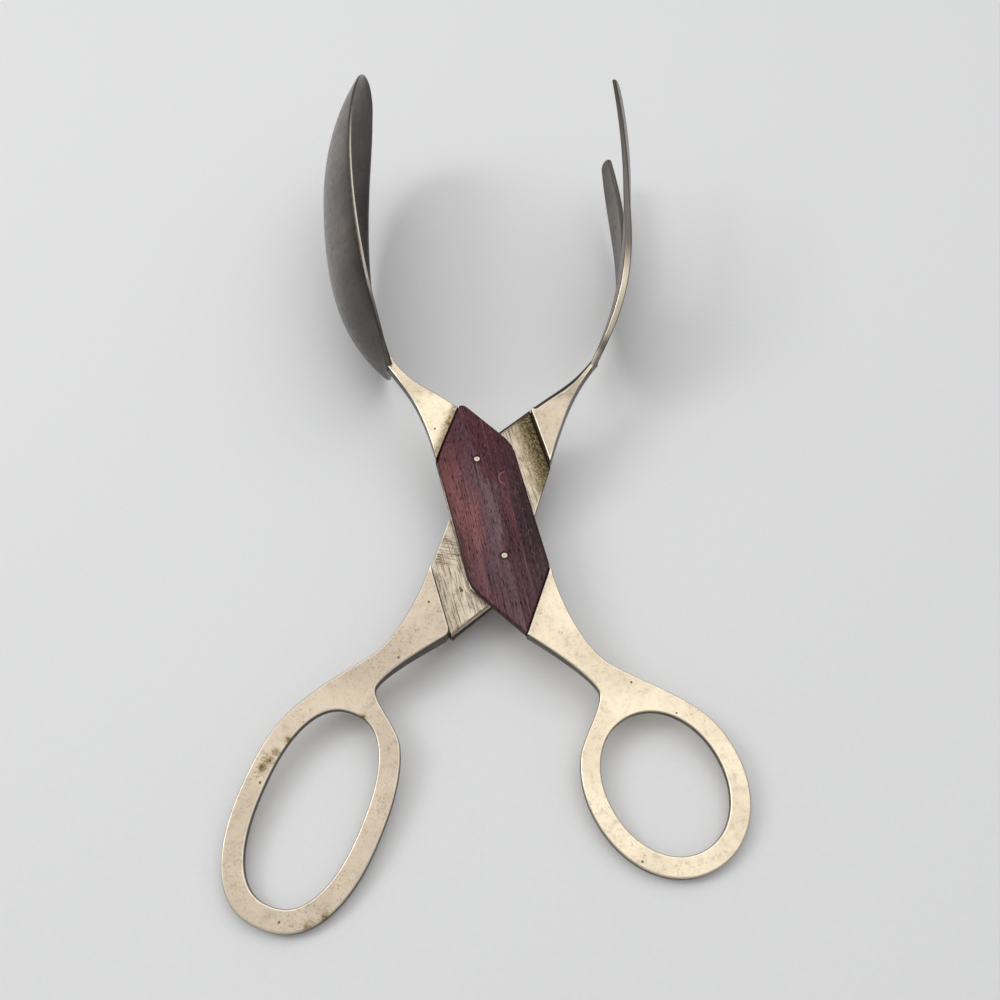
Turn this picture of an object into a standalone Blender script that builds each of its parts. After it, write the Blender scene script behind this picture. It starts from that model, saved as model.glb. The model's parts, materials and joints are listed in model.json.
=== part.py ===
"""Scissor salad tongs: two cast bronze arms crossing in a half lap, a spoon on one and a
three-tined fork on the other, finger loops, and a rosewood scale pinned over each lap.

Every arm is drawn in its own flat frame in millimetres: the pivot is the origin, +Y runs to
the jaws, Z is the pivot's axis.  The fork arm is the spoon arm's mirror image in X, with its
own loop and jaw.  The arms are then opened, and the whole is laid on its jaws and loops.
"""
import math

import bmesh
import bpy
import numpy as np
from mathutils import Vector

MM = 0.001

# how far each end reaches from the pivot, and how far to the side each loop's middle lies
SPOON_REACH = 166.3
FORK_REACH = 152.7
THUMB_LOOP_REACH = 78.6
THUMB_LOOP_SIDE = 22.3
FINGER_LOOP_REACH = 84.7
FINGER_LOOP_SIDE = 18.1

# the lap and its scales
SCALE_HALF_WIDTH = 10.8
SCALE_HALF_LENGTH = 35.7
SCALE_CORNER_Y = 19.3
LAP_THICKNESS = 1.5
SCALE_THICKNESS = 1.9
SCALE_EDGE_ROUND = 0.45
LAP_BEVEL = 0.8
TAPER_START = SCALE_HALF_LENGTH + 0.8
FIT_GAP = 0.3

# the arms
NECK_Y = 57.0
NECK_HALF_WIDTH = 0.85
NECK_SETBACK = 1.95
NECK_HALF_HEIGHT = 1.9
SPOON_NECK_X = -17.2
FORK_NECK_X = -14.7
LOOP_HALF_HEIGHT = 1.25
LOOP_TAPER_LENGTH = 24.0
SPOON_ARM_UNDERSIDE = 0.45
FORK_ARM_UNDERSIDE = 1.9
NECK_TAPER_LENGTH = 15.0
NECK_SWEEP = 3.7
NECK_OUTER_PULL = 12.0
NECK_INNER_PULL = 8.5
FLANK_PULL = 14.0
NOTCH_SIDE = 13.5
NOTCH_ABOVE_LOOP = 2.5
WAIST_SIDE = 18.2
WAIST_ABOVE_LOOP = 8.4
WAIST_PULL = 6.2

# the two loops: hole, band round it, roundness, tilt in degrees
THUMB_HOLE_HALF = (14.2, 17.4)
THUMB_BAND = 4.9
THUMB_POWER = 2.05
THUMB_TILT = 13.5
FINGER_HOLE_HALF = (12.6, 23.3)
FINGER_BAND = 5.2
FINGER_POWER = 2.35
FINGER_TILT = 2.6
LOOP_JOIN_LEFT = 140.0
LOOP_JOIN_RIGHT = 392.0

# the spoon: its rim's line in plan, then its outline and bowl
SPOON_PATH = ((-16.9, 53.9), (-17.6, 61.0), (-20.3, 0.676 * SPOON_REACH), (-0.8, SPOON_REACH))
SPOON_HALF_WIDTH = 23.4
SPOON_WIDEST = 0.61
SPOON_SHOULDER_POWER = 3.0
SPOON_TIP_POWER = 2.8
SPOON_DEPTH = 10.7
SPOON_DEPTH_POWER = 2.3
SPOON_WALL = 1.7

# the fork: its middle line in plan, then its outline and slots
FORK_PATH = ((-13.7, 54.0), (-19.2, 87.0), (-9.0, 0.786 * FORK_REACH), (4.9, FORK_REACH))
FORK_HALF_WIDTH = 23.27
FORK_TIP_HALF_WIDTH = 18.9
FORK_WIDEST = 0.5
FORK_SHOULDER_END = 0.51
FORK_SHOULDER_POWER = 1.9
FORK_DISH = 4.0
FORK_DISH_START = 0.3
FORK_DISH_POWER = 1.5
FORK_TINE_LINE = 17.0
FORK_LEAN = 0.17
FORK_LEAN_BACK = 0.057
FORK_LEAN_PEAK = 0.06
FORK_LEAN_TURN = 0.5
FORK_WALL = 2.4
FORK_TIP_WALL = 1.4
SLOT_ROOT_Y = 94.5
SLOT_HEIGHT = 6.65
SLOT_ROOT_RADIUS = 2.3
MIDDLE_TINE_TIP = 1.5
OUTER_TINE_TIP = 4.2
BLADE_ROOT_HALF_HEIGHT = 1.5
BLADE_ROOT_WALL = 2.0

# the fastenings
PIN_DIAMETER = 1.8
PIN_JAW_Y = 16.4
PIN_LOOP_Y = -13.4
PIN_PROUD = 0.05
RIVET_DIAMETER = 4.4
RIVET_HEAD_DIAMETER = 8.0
RIVET_HEAD_THICKNESS = 0.7

# the pose: each arm's swing from closed
HALF_OPENING_DEG = 15.7

# smoothness
CURVE_STEPS = 12
LOOP_STEPS = 56
BLADE_ACROSS = 14
BLADE_ALONG = 14
ROUND_STEPS = 24

LAP_TOP = LAP_THICKNESS
SCALE_BOTTOM = LAP_TOP + FIT_GAP
SCALE_TOP = SCALE_BOTTOM + SCALE_THICKNESS
ARM_HALF_HEIGHT = SCALE_TOP - 0.1
FAR = 400.0


def clear_scene():
    for obj in list(bpy.data.objects):
        bpy.data.objects.remove(obj, do_unlink=True)


def make_material(name, color, rough, metal):
    material = bpy.data.materials.new(name)
    material.use_nodes = True
    shader = material.node_tree.nodes["Principled BSDF"]
    shader.inputs["Base Color"].default_value = (*color, 1.0)
    shader.inputs["Roughness"].default_value = rough
    shader.inputs["Metallic"].default_value = metal
    return material


def bezier(points, steps):
    """Points along a cubic curve, both ends included."""
    a, b, c, d = [np.array(p, float) for p in points]
    t = np.linspace(0.0, 1.0, steps + 1)[:, None]
    return (1 - t) ** 3 * a + 3 * (1 - t) ** 2 * t * b + 3 * (1 - t) * t ** 2 * c + t ** 3 * d


def loop_curve(centre, half, power, tilt, start, stop, steps):
    """A stretch of a rounded oval, from one angle to another."""
    t = np.radians(np.linspace(start, stop, steps + 1))
    c = np.cos(t)
    s = np.sin(t)
    x = half[0] * np.sign(c) * np.abs(c) ** (2.0 / power)
    y = half[1] * np.sign(s) * np.abs(s) ** (2.0 / power)
    r = math.radians(tilt)
    return np.stack([centre[0] + x * math.cos(r) - y * math.sin(r),
                     centre[1] + x * math.sin(r) + y * math.cos(r)], axis=1)


def join_path(*runs):
    """One outline from runs that end where the next begins."""
    points = []
    for run in runs:
        for p in np.asarray(run, float):
            if not points or np.hypot(*(p - points[-1])) > 1e-6:
                points.append(p)
    if np.hypot(*(points[0] - points[-1])) < 1e-6:
        points.pop()
    return points


def object_from(bm, name, material):
    bmesh.ops.recalc_face_normals(bm, faces=bm.faces)
    mesh = bpy.data.meshes.new(name)
    bm.to_mesh(mesh)
    bm.free()
    obj = bpy.data.objects.new(name, mesh)
    bpy.context.collection.objects.link(obj)
    if material is not None:
        mesh.materials.append(material)
    mesh.shade_smooth()
    mesh.set_sharp_from_angle(angle=math.radians(32))
    return obj


def prism(name, outline, low, high, material=None, plane="XY", side=1):
    """An outline pushed out straight: along Z, or along X for an outline in Y and Z."""
    bm = bmesh.new()
    verts = []
    for p in outline:
        if plane == "XY":
            verts.append(bm.verts.new((side * p[0] * MM, p[1] * MM, low * MM)))
        else:
            verts.append(bm.verts.new((low * MM, p[0] * MM, p[1] * MM)))
    face = bm.faces.new(verts)
    out = bmesh.ops.extrude_face_region(bm, geom=[face])
    moved = [v for v in out["geom"] if isinstance(v, bmesh.types.BMVert)]
    push = (high - low) * MM
    shift = Vector((0, 0, push)) if plane == "XY" else Vector((push, 0, 0))
    bmesh.ops.translate(bm, verts=moved, vec=shift)
    return object_from(bm, name, material)


def loft(name, rings, side):
    """A closed skin over equal rings of points, capped at both ends."""
    bm = bmesh.new()
    rows = []
    for ring in rings:
        rows.append([bm.verts.new((side * p[0] * MM, p[1] * MM, p[2] * MM)) for p in ring])
    count = len(rows[0])
    for a, b in zip(rows, rows[1:]):
        for i in range(count):
            j = (i + 1) % count
            bm.faces.new((a[i], a[j], b[j], b[i]))
    bm.faces.new(rows[0])
    bm.faces.new(rows[-1])
    return object_from(bm, name, None)


def hide_tool(tool):
    tool.hide_render = True
    tool.display_type = "WIRE"
    return tool


def combine(obj, tool, operation):
    step = obj.modifiers.new(operation.lower(), "BOOLEAN")
    step.operation = operation
    step.solver = "EXACT"
    step.object = hide_tool(tool)


def settle(obj):
    """Keep the finished shape as the object's own mesh and drop the tools."""
    graph = bpy.context.evaluated_depsgraph_get()
    mesh = bpy.data.meshes.new_from_object(obj.evaluated_get(graph))
    tools = [step.object for step in obj.modifiers]
    obj.modifiers.clear()
    obj.data = mesh
    mesh.shade_smooth()
    mesh.set_sharp_from_angle(angle=math.radians(32))
    for tool in tools:
        bpy.data.objects.remove(tool, do_unlink=True)
    return obj


def cylinder(name, radius, low, high, at=(0.0, 0.0), material=None):
    """An upright round bar."""
    t = np.linspace(0.0, 2.0 * math.pi, ROUND_STEPS, endpoint=False)
    ring = [(at[0] + radius * math.cos(a), at[1] + radius * math.sin(a)) for a in t]
    return prism(name, ring, low, high, material)


def scale_corners(inset):
    """The scale's six corners, its two shoulder edges drawn in by inset."""
    w = SCALE_HALF_WIDTH
    n = shoulder_normal()
    stop = np.array([w, SCALE_HALF_LENGTH - SCALE_CORNER_Y]) * (1, -1)
    stop = stop / np.hypot(*stop)
    apex = np.array([0.0, SCALE_HALF_LENGTH])
    flank = np.array([-w, SCALE_CORNER_Y])
    apex_in = apex + stop * inset / abs(stop @ n)
    flank_in = flank + np.array([0.0, -1.0]) * inset / abs(n[1])
    half = [apex_in, flank_in]
    return [half[0], half[1], np.array([-w, -SCALE_CORNER_Y]), -half[0], -half[1],
            np.array([w, SCALE_CORNER_Y])]


def shoulder_normal():
    """The direction square to the shoulder, pointing out of the lap."""
    edge = np.array([SCALE_HALF_WIDTH, SCALE_HALF_LENGTH - SCALE_CORNER_Y])
    edge = edge / np.hypot(*edge)
    return np.array([-edge[1], edge[0]])


def lap_slab(name, low, high, side, inset=0.0):
    """The space between the two shoulders, from one height to another."""
    n = shoulder_normal()
    along = np.array([n[1], -n[0]])
    reach = np.array([0.0, SCALE_HALF_LENGTH]) @ n + inset
    corners = [along * FAR + n * reach, -along * FAR + n * reach,
               -along * FAR - n * reach, along * FAR - n * reach]
    return prism(name, corners, low, high, side=side)


def arm_outline(neck_x, centre, half, power, tilt):
    """The flat arm seen from above, from the neck round the loop and back."""
    w = SCALE_HALF_WIDTH
    ring = loop_curve(centre, half, power, tilt, LOOP_JOIN_LEFT, LOOP_JOIN_RIGHT, LOOP_STEPS)
    into = ring[1] - ring[0]
    into = into / np.hypot(*into)
    out = ring[-1] - ring[-2]
    out = out / np.hypot(*out)
    loop_top = centre[1] + half[1]
    notch = np.array([NOTCH_SIDE, loop_top + NOTCH_ABOVE_LOOP])
    waist = np.array([WAIST_SIDE, loop_top + WAIST_ABOVE_LOOP])
    slope = np.array([-1.0, 1.0]) * WAIST_PULL / math.sqrt(2.0)
    neck_in = (neck_x + NECK_HALF_WIDTH, NECK_Y)
    neck_out = (neck_x - NECK_HALF_WIDTH, NECK_Y)
    apex = (0.0, SCALE_HALF_LENGTH)
    flank = (-w, SCALE_CORNER_Y)
    sweep_x = neck_x + NECK_SWEEP
    outer_neck = bezier([neck_out, (sweep_x, NECK_Y - NECK_OUTER_PULL), (-w, SCALE_CORNER_Y + FLANK_PULL),
                         flank], CURVE_STEPS)
    shoulder = np.array([w, SCALE_HALF_LENGTH - SCALE_CORNER_Y])
    start = np.array(apex) - shoulder / np.hypot(*shoulder) * NECK_SETBACK
    inner_neck = bezier([start, (-0.585 * w, SCALE_HALF_LENGTH + 0.535 * w),
                         (sweep_x, NECK_Y - NECK_INNER_PULL), neck_in], CURVE_STEPS)
    inner_bar = bezier([(0.0, -SCALE_HALF_LENGTH), (0.46 * w, -SCALE_HALF_LENGTH - 0.52 * w),
                        notch + slope * (0.23, 0.98), notch], CURVE_STEPS)
    inner_loop = bezier([notch, notch - slope * (0.1, 0.73), ring[0] - into * WAIST_PULL * 0.8, ring[0]],
                        CURVE_STEPS // 2)
    outer_loop = bezier([ring[-1], ring[-1] + out * WAIST_PULL * 1.3, waist - slope, waist], CURVE_STEPS)
    outer_bar = bezier([waist, waist + slope, (w, -SCALE_CORNER_Y - FLANK_PULL), (w, -SCALE_CORNER_Y)],
                       CURVE_STEPS)
    return join_path(outer_neck, [flank, (-w, -SCALE_CORNER_Y), (0.0, -SCALE_HALF_LENGTH)], inner_bar,
                     inner_loop, ring, outer_loop, outer_bar,
                     [(w, -SCALE_CORNER_Y), (w, SCALE_CORNER_Y), apex], inner_neck)


def half_height(y, full):
    """How far a face of the arm lies from the middle plane: full at the lap, then the same
    for both faces at the loop and at the neck."""
    def ease(t):
        t = min(max(t, 0.0), 1.0)
        return t * t * (3.0 - 2.0 * t)
    if y < 0:
        return full + (LOOP_HALF_HEIGHT - full) * ease((-y - TAPER_START) / LOOP_TAPER_LENGTH)
    return full + (NECK_HALF_HEIGHT - full) * ease((y - TAPER_START) / NECK_TAPER_LENGTH)


def thickness_envelope(name, under):
    """The arm's side view, pushed across: what the flat arm is trimmed to."""
    down = np.linspace(-TAPER_START - LOOP_TAPER_LENGTH, -TAPER_START, 9)
    up = np.linspace(TAPER_START, TAPER_START + NECK_TAPER_LENGTH, 7)
    ys = [-FAR, *down, *up, FAR]
    top = [(y, half_height(y, ARM_HALF_HEIGHT)) for y in ys]
    low = [(y, -half_height(y, under)) for y in reversed(ys)]
    return prism(name, low + top, -FAR, FAR, plane="YZ")


def lap_bevels(name, side, up):
    """Two wedges that ease the lap's stop edges on the face that slides."""
    tools = []
    apex = np.array([0.0, SCALE_HALF_LENGTH])
    corner = np.array([SCALE_HALF_WIDTH, SCALE_CORNER_Y])
    edge = (corner - apex) / np.hypot(*(corner - apex))
    out = np.array([-edge[1], edge[0]])
    face = up * FIT_GAP / 2
    spare = FIT_GAP
    wedge = ((-LAP_BEVEL - spare, -spare), (spare, -spare), (spare, LAP_BEVEL + spare))
    for sign, label in ((1, "_jaw"), (-1, "_loop")):
        bm = bmesh.new()
        for p in (apex + edge * 2 * LAP_BEVEL, corner + edge * 6 * LAP_BEVEL):
            for depth, rise in wedge:
                q = sign * (p + out * depth)
                bm.verts.new((side * q[0] * MM, q[1] * MM, (face + up * rise) * MM))
        bm.verts.ensure_lookup_table()
        for ring in ((0, 1, 2), (5, 4, 3), (0, 3, 4, 1), (1, 4, 5, 2), (2, 5, 3, 0)):
            bm.faces.new([bm.verts[i] for i in ring])
        tools.append(object_from(bm, name + label, None))
    return tools


def smooth(t):
    """From 0 to 1 with level ends."""
    t = np.clip(t, 0.0, 1.0)
    return t * t * (3.0 - 2.0 * t)


def blade_rings(path, shares, halves, depths, walls, rims, leans):
    """Rings round a blade that stands on edge: it follows path in plan, and each share of the way
    has its half width, its depth as a dish to the outside, its wall, the height at which the dish
    comes to nothing, and its lean, which carries the upper half out and the lower half in."""
    a, b, c, d = [np.array(p, float) for p in path]
    q = np.linspace(-1.0, 1.0, BLADE_ACROSS + 1)
    rings = []
    for s, half, depth, wall, rim, lean in zip(shares, halves, depths, walls, rims, leans):
        at = (1 - s) ** 3 * a + 3 * (1 - s) ** 2 * s * b + 3 * (1 - s) * s ** 2 * c + s ** 3 * d
        go = 3 * (1 - s) ** 2 * (b - a) + 6 * (1 - s) * s * (c - b) + 3 * s ** 2 * (d - c)
        go = go / np.hypot(*go)
        out = np.array([-go[1], go[0]])
        dish = depth * (1.0 - (q * half / rim) ** 2) + lean * q * half
        outer = [(*(at + out * (n + wall / 2)), z * half) for n, z in zip(dish, q)]
        inner = [(*(at + out * (n - wall / 2)), z * half) for n, z in zip(dish, q)]
        rings.append(outer + inner[::-1])
    return rings


def spoon_blade():
    u = np.linspace(0.0, 1.0, BLADE_ALONG, endpoint=False)
    t = np.linspace(0.0, 0.985 * math.pi / 2, BLADE_ALONG)
    rise = BLADE_ROOT_HALF_HEIGHT + (SPOON_HALF_WIDTH - BLADE_ROOT_HALF_HEIGHT) * (
        1 - (1 - u) ** SPOON_SHOULDER_POWER)
    shares = np.concatenate([u * SPOON_WIDEST,
                             SPOON_WIDEST + (1 - SPOON_WIDEST) * np.sin(t) ** (2 / SPOON_TIP_POWER)])
    halves = np.concatenate([rise, SPOON_HALF_WIDTH * np.cos(t) ** (2 / SPOON_TIP_POWER)])
    depths = SPOON_DEPTH * (halves / SPOON_HALF_WIDTH) ** SPOON_DEPTH_POWER
    walls = SPOON_WALL + (BLADE_ROOT_WALL - SPOON_WALL) * np.exp(-shares * 12.0)
    rings = blade_rings(SPOON_PATH, shares, halves, depths, walls, halves, 0 * shares)
    return loft("spoon_blade", rings, 1)


def fork_blade(side):
    s = np.linspace(0.0, 1.0, 2 * BLADE_ALONG)
    rise = 1 - (1 - np.clip(s / FORK_SHOULDER_END, 0, 1)) ** FORK_SHOULDER_POWER
    fall = np.clip((s - FORK_WIDEST) / (1 - FORK_WIDEST), 0, 1) ** 2
    halves = (BLADE_ROOT_HALF_HEIGHT + (FORK_HALF_WIDTH - BLADE_ROOT_HALF_HEIGHT) * rise
              - (FORK_HALF_WIDTH - FORK_TIP_HALF_WIDTH) * fall)
    walls = FORK_WALL + (FORK_TIP_WALL - FORK_WALL) * s + (BLADE_ROOT_WALL - FORK_WALL) * np.exp(-s * 12.0)
    depths = FORK_DISH * np.clip((s - FORK_DISH_START) / (1 - FORK_DISH_START), 0, 1) ** FORK_DISH_POWER
    leans = (FORK_LEAN * smooth(s / FORK_LEAN_PEAK)
             - (FORK_LEAN + FORK_LEAN_BACK) * smooth((s - FORK_LEAN_PEAK) / (FORK_LEAN_TURN - FORK_LEAN_PEAK))
             + FORK_LEAN_BACK * smooth((s - FORK_LEAN_TURN) / (1 - FORK_LEAN_TURN)))
    rings = blade_rings(FORK_PATH, s, halves, depths, walls, 0 * s + FORK_TINE_LINE, leans)
    return loft("fork_blade", rings, side)


def fork_slot(name, sign):
    """The slot between two tines: round at its root, open and wider at the tips."""
    tip_y = FORK_PATH[3][1]
    centre = SLOT_ROOT_Y + SLOT_ROOT_RADIUS
    t = np.radians(np.linspace(100.0, 260.0, ROUND_STEPS // 2))
    r = SLOT_ROOT_RADIUS
    root = [(centre + r * math.cos(a), SLOT_HEIGHT + r * math.sin(a)) for a in t]
    near = FORK_TIP_HALF_WIDTH - OUTER_TINE_TIP
    past = tip_y + 2 * FORK_DISH
    ends = [(tip_y, MIDDLE_TINE_TIP), (past, MIDDLE_TINE_TIP), (past, near), (tip_y, near)]
    outline = [(y, sign * z) for y, z in root + ends]
    return prism(name, outline, -FAR, FAR, plane="YZ")


def build_arm(name, side, up, under, neck_x, centre, hole, band, power, tilt, material):
    """One arm: side mirrors it in X, up says which face carries the scale, under how low it lies."""
    rim = (hole[0] + band, hole[1] + band)
    arm = prism(name, arm_outline(neck_x, centre, rim, power, tilt), -FAR / 20, FAR / 20, material,
                side=side)
    combine(arm, thickness_envelope(name + "_envelope", under), "INTERSECT")
    inside = loop_curve(centre, hole, power, tilt, 0.0, 360.0, LOOP_STEPS)[:-1]
    combine(arm, prism(name + "_hole", inside, -FAR / 10, FAR / 10, side=side), "DIFFERENCE")
    combine(arm, spoon_blade() if side > 0 else fork_blade(side), "UNION")
    if side < 0:
        combine(arm, fork_slot("fork_slot_upper", 1), "DIFFERENCE")
        combine(arm, fork_slot("fork_slot_lower", -1), "DIFFERENCE")
    face = up * FIT_GAP / 2
    back = up * LAP_TOP
    far = up * FAR / 10
    combine(arm, lap_slab(name + "_recess", min(face, -far), max(face, -far), side, FIT_GAP), "DIFFERENCE")
    combine(arm, lap_slab(name + "_seat", min(back, far), max(back, far), side, FIT_GAP / 2),
            "DIFFERENCE")
    for tool in lap_bevels(name + "_stop_bevel", side, up):
        combine(arm, tool, "DIFFERENCE")
    reach = FAR / 20
    combine(arm, cylinder(name + "_bore", RIVET_DIAMETER / 2 + FIT_GAP, -reach, reach), "DIFFERENCE")
    for label, y in (("jaw", PIN_JAW_Y), ("loop", PIN_LOOP_Y)):
        bore = cylinder(name + "_pin_bore_" + label, PIN_DIAMETER / 2 + FIT_GAP, -reach, reach, (0.0, y))
        combine(arm, bore, "DIFFERENCE")
    return settle(arm)


def build_scale(name, side, up, material):
    """A wooden scale: six sides, eased top edges, pocket for the rivet's head, two pin holes."""
    low, high = sorted((up * SCALE_BOTTOM, up * SCALE_TOP))
    bm = bmesh.new()
    verts = [bm.verts.new((side * p[0] * MM, p[1] * MM, low * MM)) for p in scale_corners(FIT_GAP)]
    face = bm.faces.new(verts)
    out = bmesh.ops.extrude_face_region(bm, geom=[face])
    moved = [v for v in out["geom"] if isinstance(v, bmesh.types.BMVert)]
    bmesh.ops.translate(bm, verts=moved, vec=(0, 0, (high - low) * MM))
    top = up * SCALE_TOP * MM
    edges = [e for e in bm.edges if all(abs(v.co.z - top) < 1e-7 for v in e.verts)]
    bmesh.ops.bevel(bm, geom=edges, offset=SCALE_EDGE_ROUND * MM, segments=3, profile=0.5,
                    affect="EDGES", clamp_overlap=True)
    scale = object_from(bm, name, material)
    pocket = up * (SCALE_BOTTOM + RIVET_HEAD_THICKNESS + FIT_GAP)
    below = 0.0
    combine(scale, cylinder(name + "_pocket", RIVET_HEAD_DIAMETER / 2 + FIT_GAP, min(pocket, below),
                            max(pocket, below)), "DIFFERENCE")
    reach = FAR / 20
    for label, y in (("jaw", PIN_JAW_Y), ("loop", PIN_LOOP_Y)):
        hole = cylinder(name + "_pin_hole_" + label, PIN_DIAMETER / 2 + FIT_GAP, -reach, reach, (0.0, y))
        combine(scale, hole, "DIFFERENCE")
    return settle(scale)


def build_pin(name, up, y, material):
    """A plain pin through scale and lap, a hair proud of the wood."""
    low, high = sorted((up * FIT_GAP, up * (SCALE_TOP + PIN_PROUD)))
    return cylinder(name, PIN_DIAMETER / 2, low, high, (0.0, y), material)


def build_rivet(name, material):
    """The pivot: a round shank with a flat head at each end, turned as one profile."""
    head = SCALE_BOTTOM + RIVET_HEAD_THICKNESS
    r = RIVET_DIAMETER / 2
    big = RIVET_HEAD_DIAMETER / 2
    profile = [(big, head), (big, SCALE_BOTTOM), (r, SCALE_BOTTOM), (r, -SCALE_BOTTOM), (big, -SCALE_BOTTOM),
               (big, -head)]
    bm = bmesh.new()
    rows = []
    for i in range(ROUND_STEPS):
        a = 2 * math.pi * i / ROUND_STEPS
        rows.append([bm.verts.new((p * math.cos(a) * MM, p * math.sin(a) * MM, z * MM)) for p, z in profile])
    for i in range(ROUND_STEPS):
        one = rows[i]
        two = rows[(i + 1) % ROUND_STEPS]
        for j in range(len(profile) - 1):
            bm.faces.new((one[j], one[j + 1], two[j + 1], two[j]))
    bm.faces.new([row[0] for row in rows])
    bm.faces.new([row[-1] for row in rows])
    return object_from(bm, name, material)


def world_points(obj):
    graph = bpy.context.evaluated_depsgraph_get()
    done = obj.evaluated_get(graph)
    mesh = done.to_mesh()
    co = np.empty(len(mesh.vertices) * 3)
    mesh.vertices.foreach_get("co", co)
    done.to_mesh_clear()
    m = np.array(obj.matrix_world)
    return co.reshape(-1, 3) @ m[:3, :3].T + m[:3, 3]


def lay_down(root, spoon_arm, fork_arm, nodes):
    """Tip and roll the tongs until the spoon and both loops touch the table, then put the
    table at zero height and the middle of the footprint at the origin."""
    bpy.context.view_layer.update()
    spoon = world_points(spoon_arm)
    fork = world_points(fork_arm)
    gap = NECK_Y * MM
    feet = [spoon[spoon[:, 1] > gap], spoon[spoon[:, 1] < -gap], fork[fork[:, 1] < -gap]]
    up = np.array([0.0, 0.0, 1.0])
    for _ in range(20):
        low = [points[np.argmin(np.round(points @ up, 9))] for points in feet]
        up = np.cross(low[1] - low[0], low[2] - low[0])
        up = up * math.copysign(1.0, up[2]) / np.linalg.norm(up)
    turn = Vector(up).rotation_difference(Vector((0.0, 0.0, 1.0)))
    root.rotation_euler = turn.to_euler()
    bpy.context.view_layer.update()
    points = np.concatenate([world_points(obj) for obj in nodes])
    middle = (points.min(0) + points.max(0)) / 2
    root.location = (-middle[0], -middle[1], -points[:, 2].min())
    bpy.context.view_layer.update()


def main():
    clear_scene()
    bronze = make_material("arm_bronze", (0.56, 0.47, 0.35), 0.34, 1.0)
    fork_bronze = make_material("fork_bronze", (0.54, 0.46, 0.35), 0.36, 1.0)
    rosewood = make_material("rosewood", (0.075, 0.022, 0.020), 0.42, 0.0)
    rosewood_low = make_material("rosewood_lower", (0.070, 0.022, 0.020), 0.45, 0.0)
    brass = make_material("pin_brass", (0.75, 0.60, 0.36), 0.35, 1.0)
    steel = make_material("rivet_bronze", (0.50, 0.42, 0.32), 0.40, 1.0)

    spoon_arm = build_arm("spoon_arm", 1, 1, SPOON_ARM_UNDERSIDE, SPOON_NECK_X,
                          (THUMB_LOOP_SIDE, -THUMB_LOOP_REACH), THUMB_HOLE_HALF, THUMB_BAND,
                          THUMB_POWER, THUMB_TILT, bronze)
    fork_arm = build_arm("fork_arm", -1, -1, FORK_ARM_UNDERSIDE, FORK_NECK_X,
                         (FINGER_LOOP_SIDE, -FINGER_LOOP_REACH), FINGER_HOLE_HALF, FINGER_BAND,
                         FINGER_POWER, FINGER_TILT, fork_bronze)
    spoon_side = [spoon_arm, build_scale("upper_scale", 1, 1, rosewood),
                  build_pin("upper_pin_jaw", 1, PIN_JAW_Y, brass),
                  build_pin("upper_pin_loop", 1, PIN_LOOP_Y, brass)]
    fork_side = [fork_arm, build_scale("lower_scale", -1, -1, rosewood_low),
                 build_pin("lower_pin_jaw", -1, PIN_JAW_Y, brass),
                 build_pin("lower_pin_loop", -1, PIN_LOOP_Y, brass), build_rivet("pivot_rivet", steel)]

    root = bpy.data.objects.new("tongs", None)
    bpy.context.collection.objects.link(root)
    for label, nodes, turn in (("spoon_swing", spoon_side, HALF_OPENING_DEG),
                               ("fork_swing", fork_side, -HALF_OPENING_DEG)):
        swing = bpy.data.objects.new(label, None)
        bpy.context.collection.objects.link(swing)
        swing.parent = root
        swing.rotation_euler = (0.0, 0.0, math.radians(turn))
        for obj in nodes:
            obj.parent = swing
    lay_down(root, spoon_arm, fork_arm, spoon_side + fork_side)


main()
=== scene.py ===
# %% [markdown]
# # Scissor salad tongs
# Two bronze arms cross in a half lap and turn on a hidden rivet.  One arm ends in a spoon, the
# other in a three-tined fork, and each has a finger loop at its near end.  A rosewood scale is
# pinned over each lap.  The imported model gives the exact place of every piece; this lesson
# dresses it with finer surfaces worked out as whole numpy arrays, and with procedural finishes.

# %% Load the frame
import json
import math

import bpy
import numpy as np
from mathutils import Matrix, Vector
from mathutils.geometry import delaunay_2d_cdt


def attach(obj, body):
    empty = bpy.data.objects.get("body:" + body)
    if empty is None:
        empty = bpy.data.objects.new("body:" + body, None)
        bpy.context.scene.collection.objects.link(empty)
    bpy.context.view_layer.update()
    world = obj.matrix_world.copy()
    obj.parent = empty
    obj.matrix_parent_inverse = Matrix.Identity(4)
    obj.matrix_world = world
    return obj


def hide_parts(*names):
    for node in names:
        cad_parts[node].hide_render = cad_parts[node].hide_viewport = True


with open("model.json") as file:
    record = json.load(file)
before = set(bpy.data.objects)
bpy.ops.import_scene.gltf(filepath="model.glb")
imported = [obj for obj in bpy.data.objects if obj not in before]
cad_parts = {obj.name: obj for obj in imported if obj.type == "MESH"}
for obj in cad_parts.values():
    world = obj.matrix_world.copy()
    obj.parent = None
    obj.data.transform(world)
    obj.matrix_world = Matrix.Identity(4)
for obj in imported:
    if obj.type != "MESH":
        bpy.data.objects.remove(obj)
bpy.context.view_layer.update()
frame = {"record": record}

# %% [markdown]
# Everything on the tongs is drawn in an arm's own flat frame, in millimetres: the pivot is the
# origin, +Y runs to the jaws, +Z is the pivot's axis.  The joint in the record gives the pivot's
# place and axis.  The tongs were tipped on to the table by the shortest turn that brings +Z to
# that axis, and each arm was then swung half the opening, so three small matrices give both
# arms' frames.  The fork arm is drawn as a mirror image, which is only a sign on X.

# %% The arms' frames
MM = 0.001
HALF_OPENING = math.radians(15.7)

hinge = frame["record"]["behaviour"]["joints"][0]
pivot = Vector(hinge["pos_m"])
lying = Vector((0.0, 0.0, 1.0)).rotation_difference(Vector(hinge["axis"])).to_matrix()
spoon_turn = np.array(lying @ Matrix.Rotation(HALF_OPENING, 3, "Z"))
fork_turn = np.array(lying @ Matrix.Rotation(-HALF_OPENING, 3, "Z"))
print("pivot", [round(v / MM, 2) for v in pivot], "mm")

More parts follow.
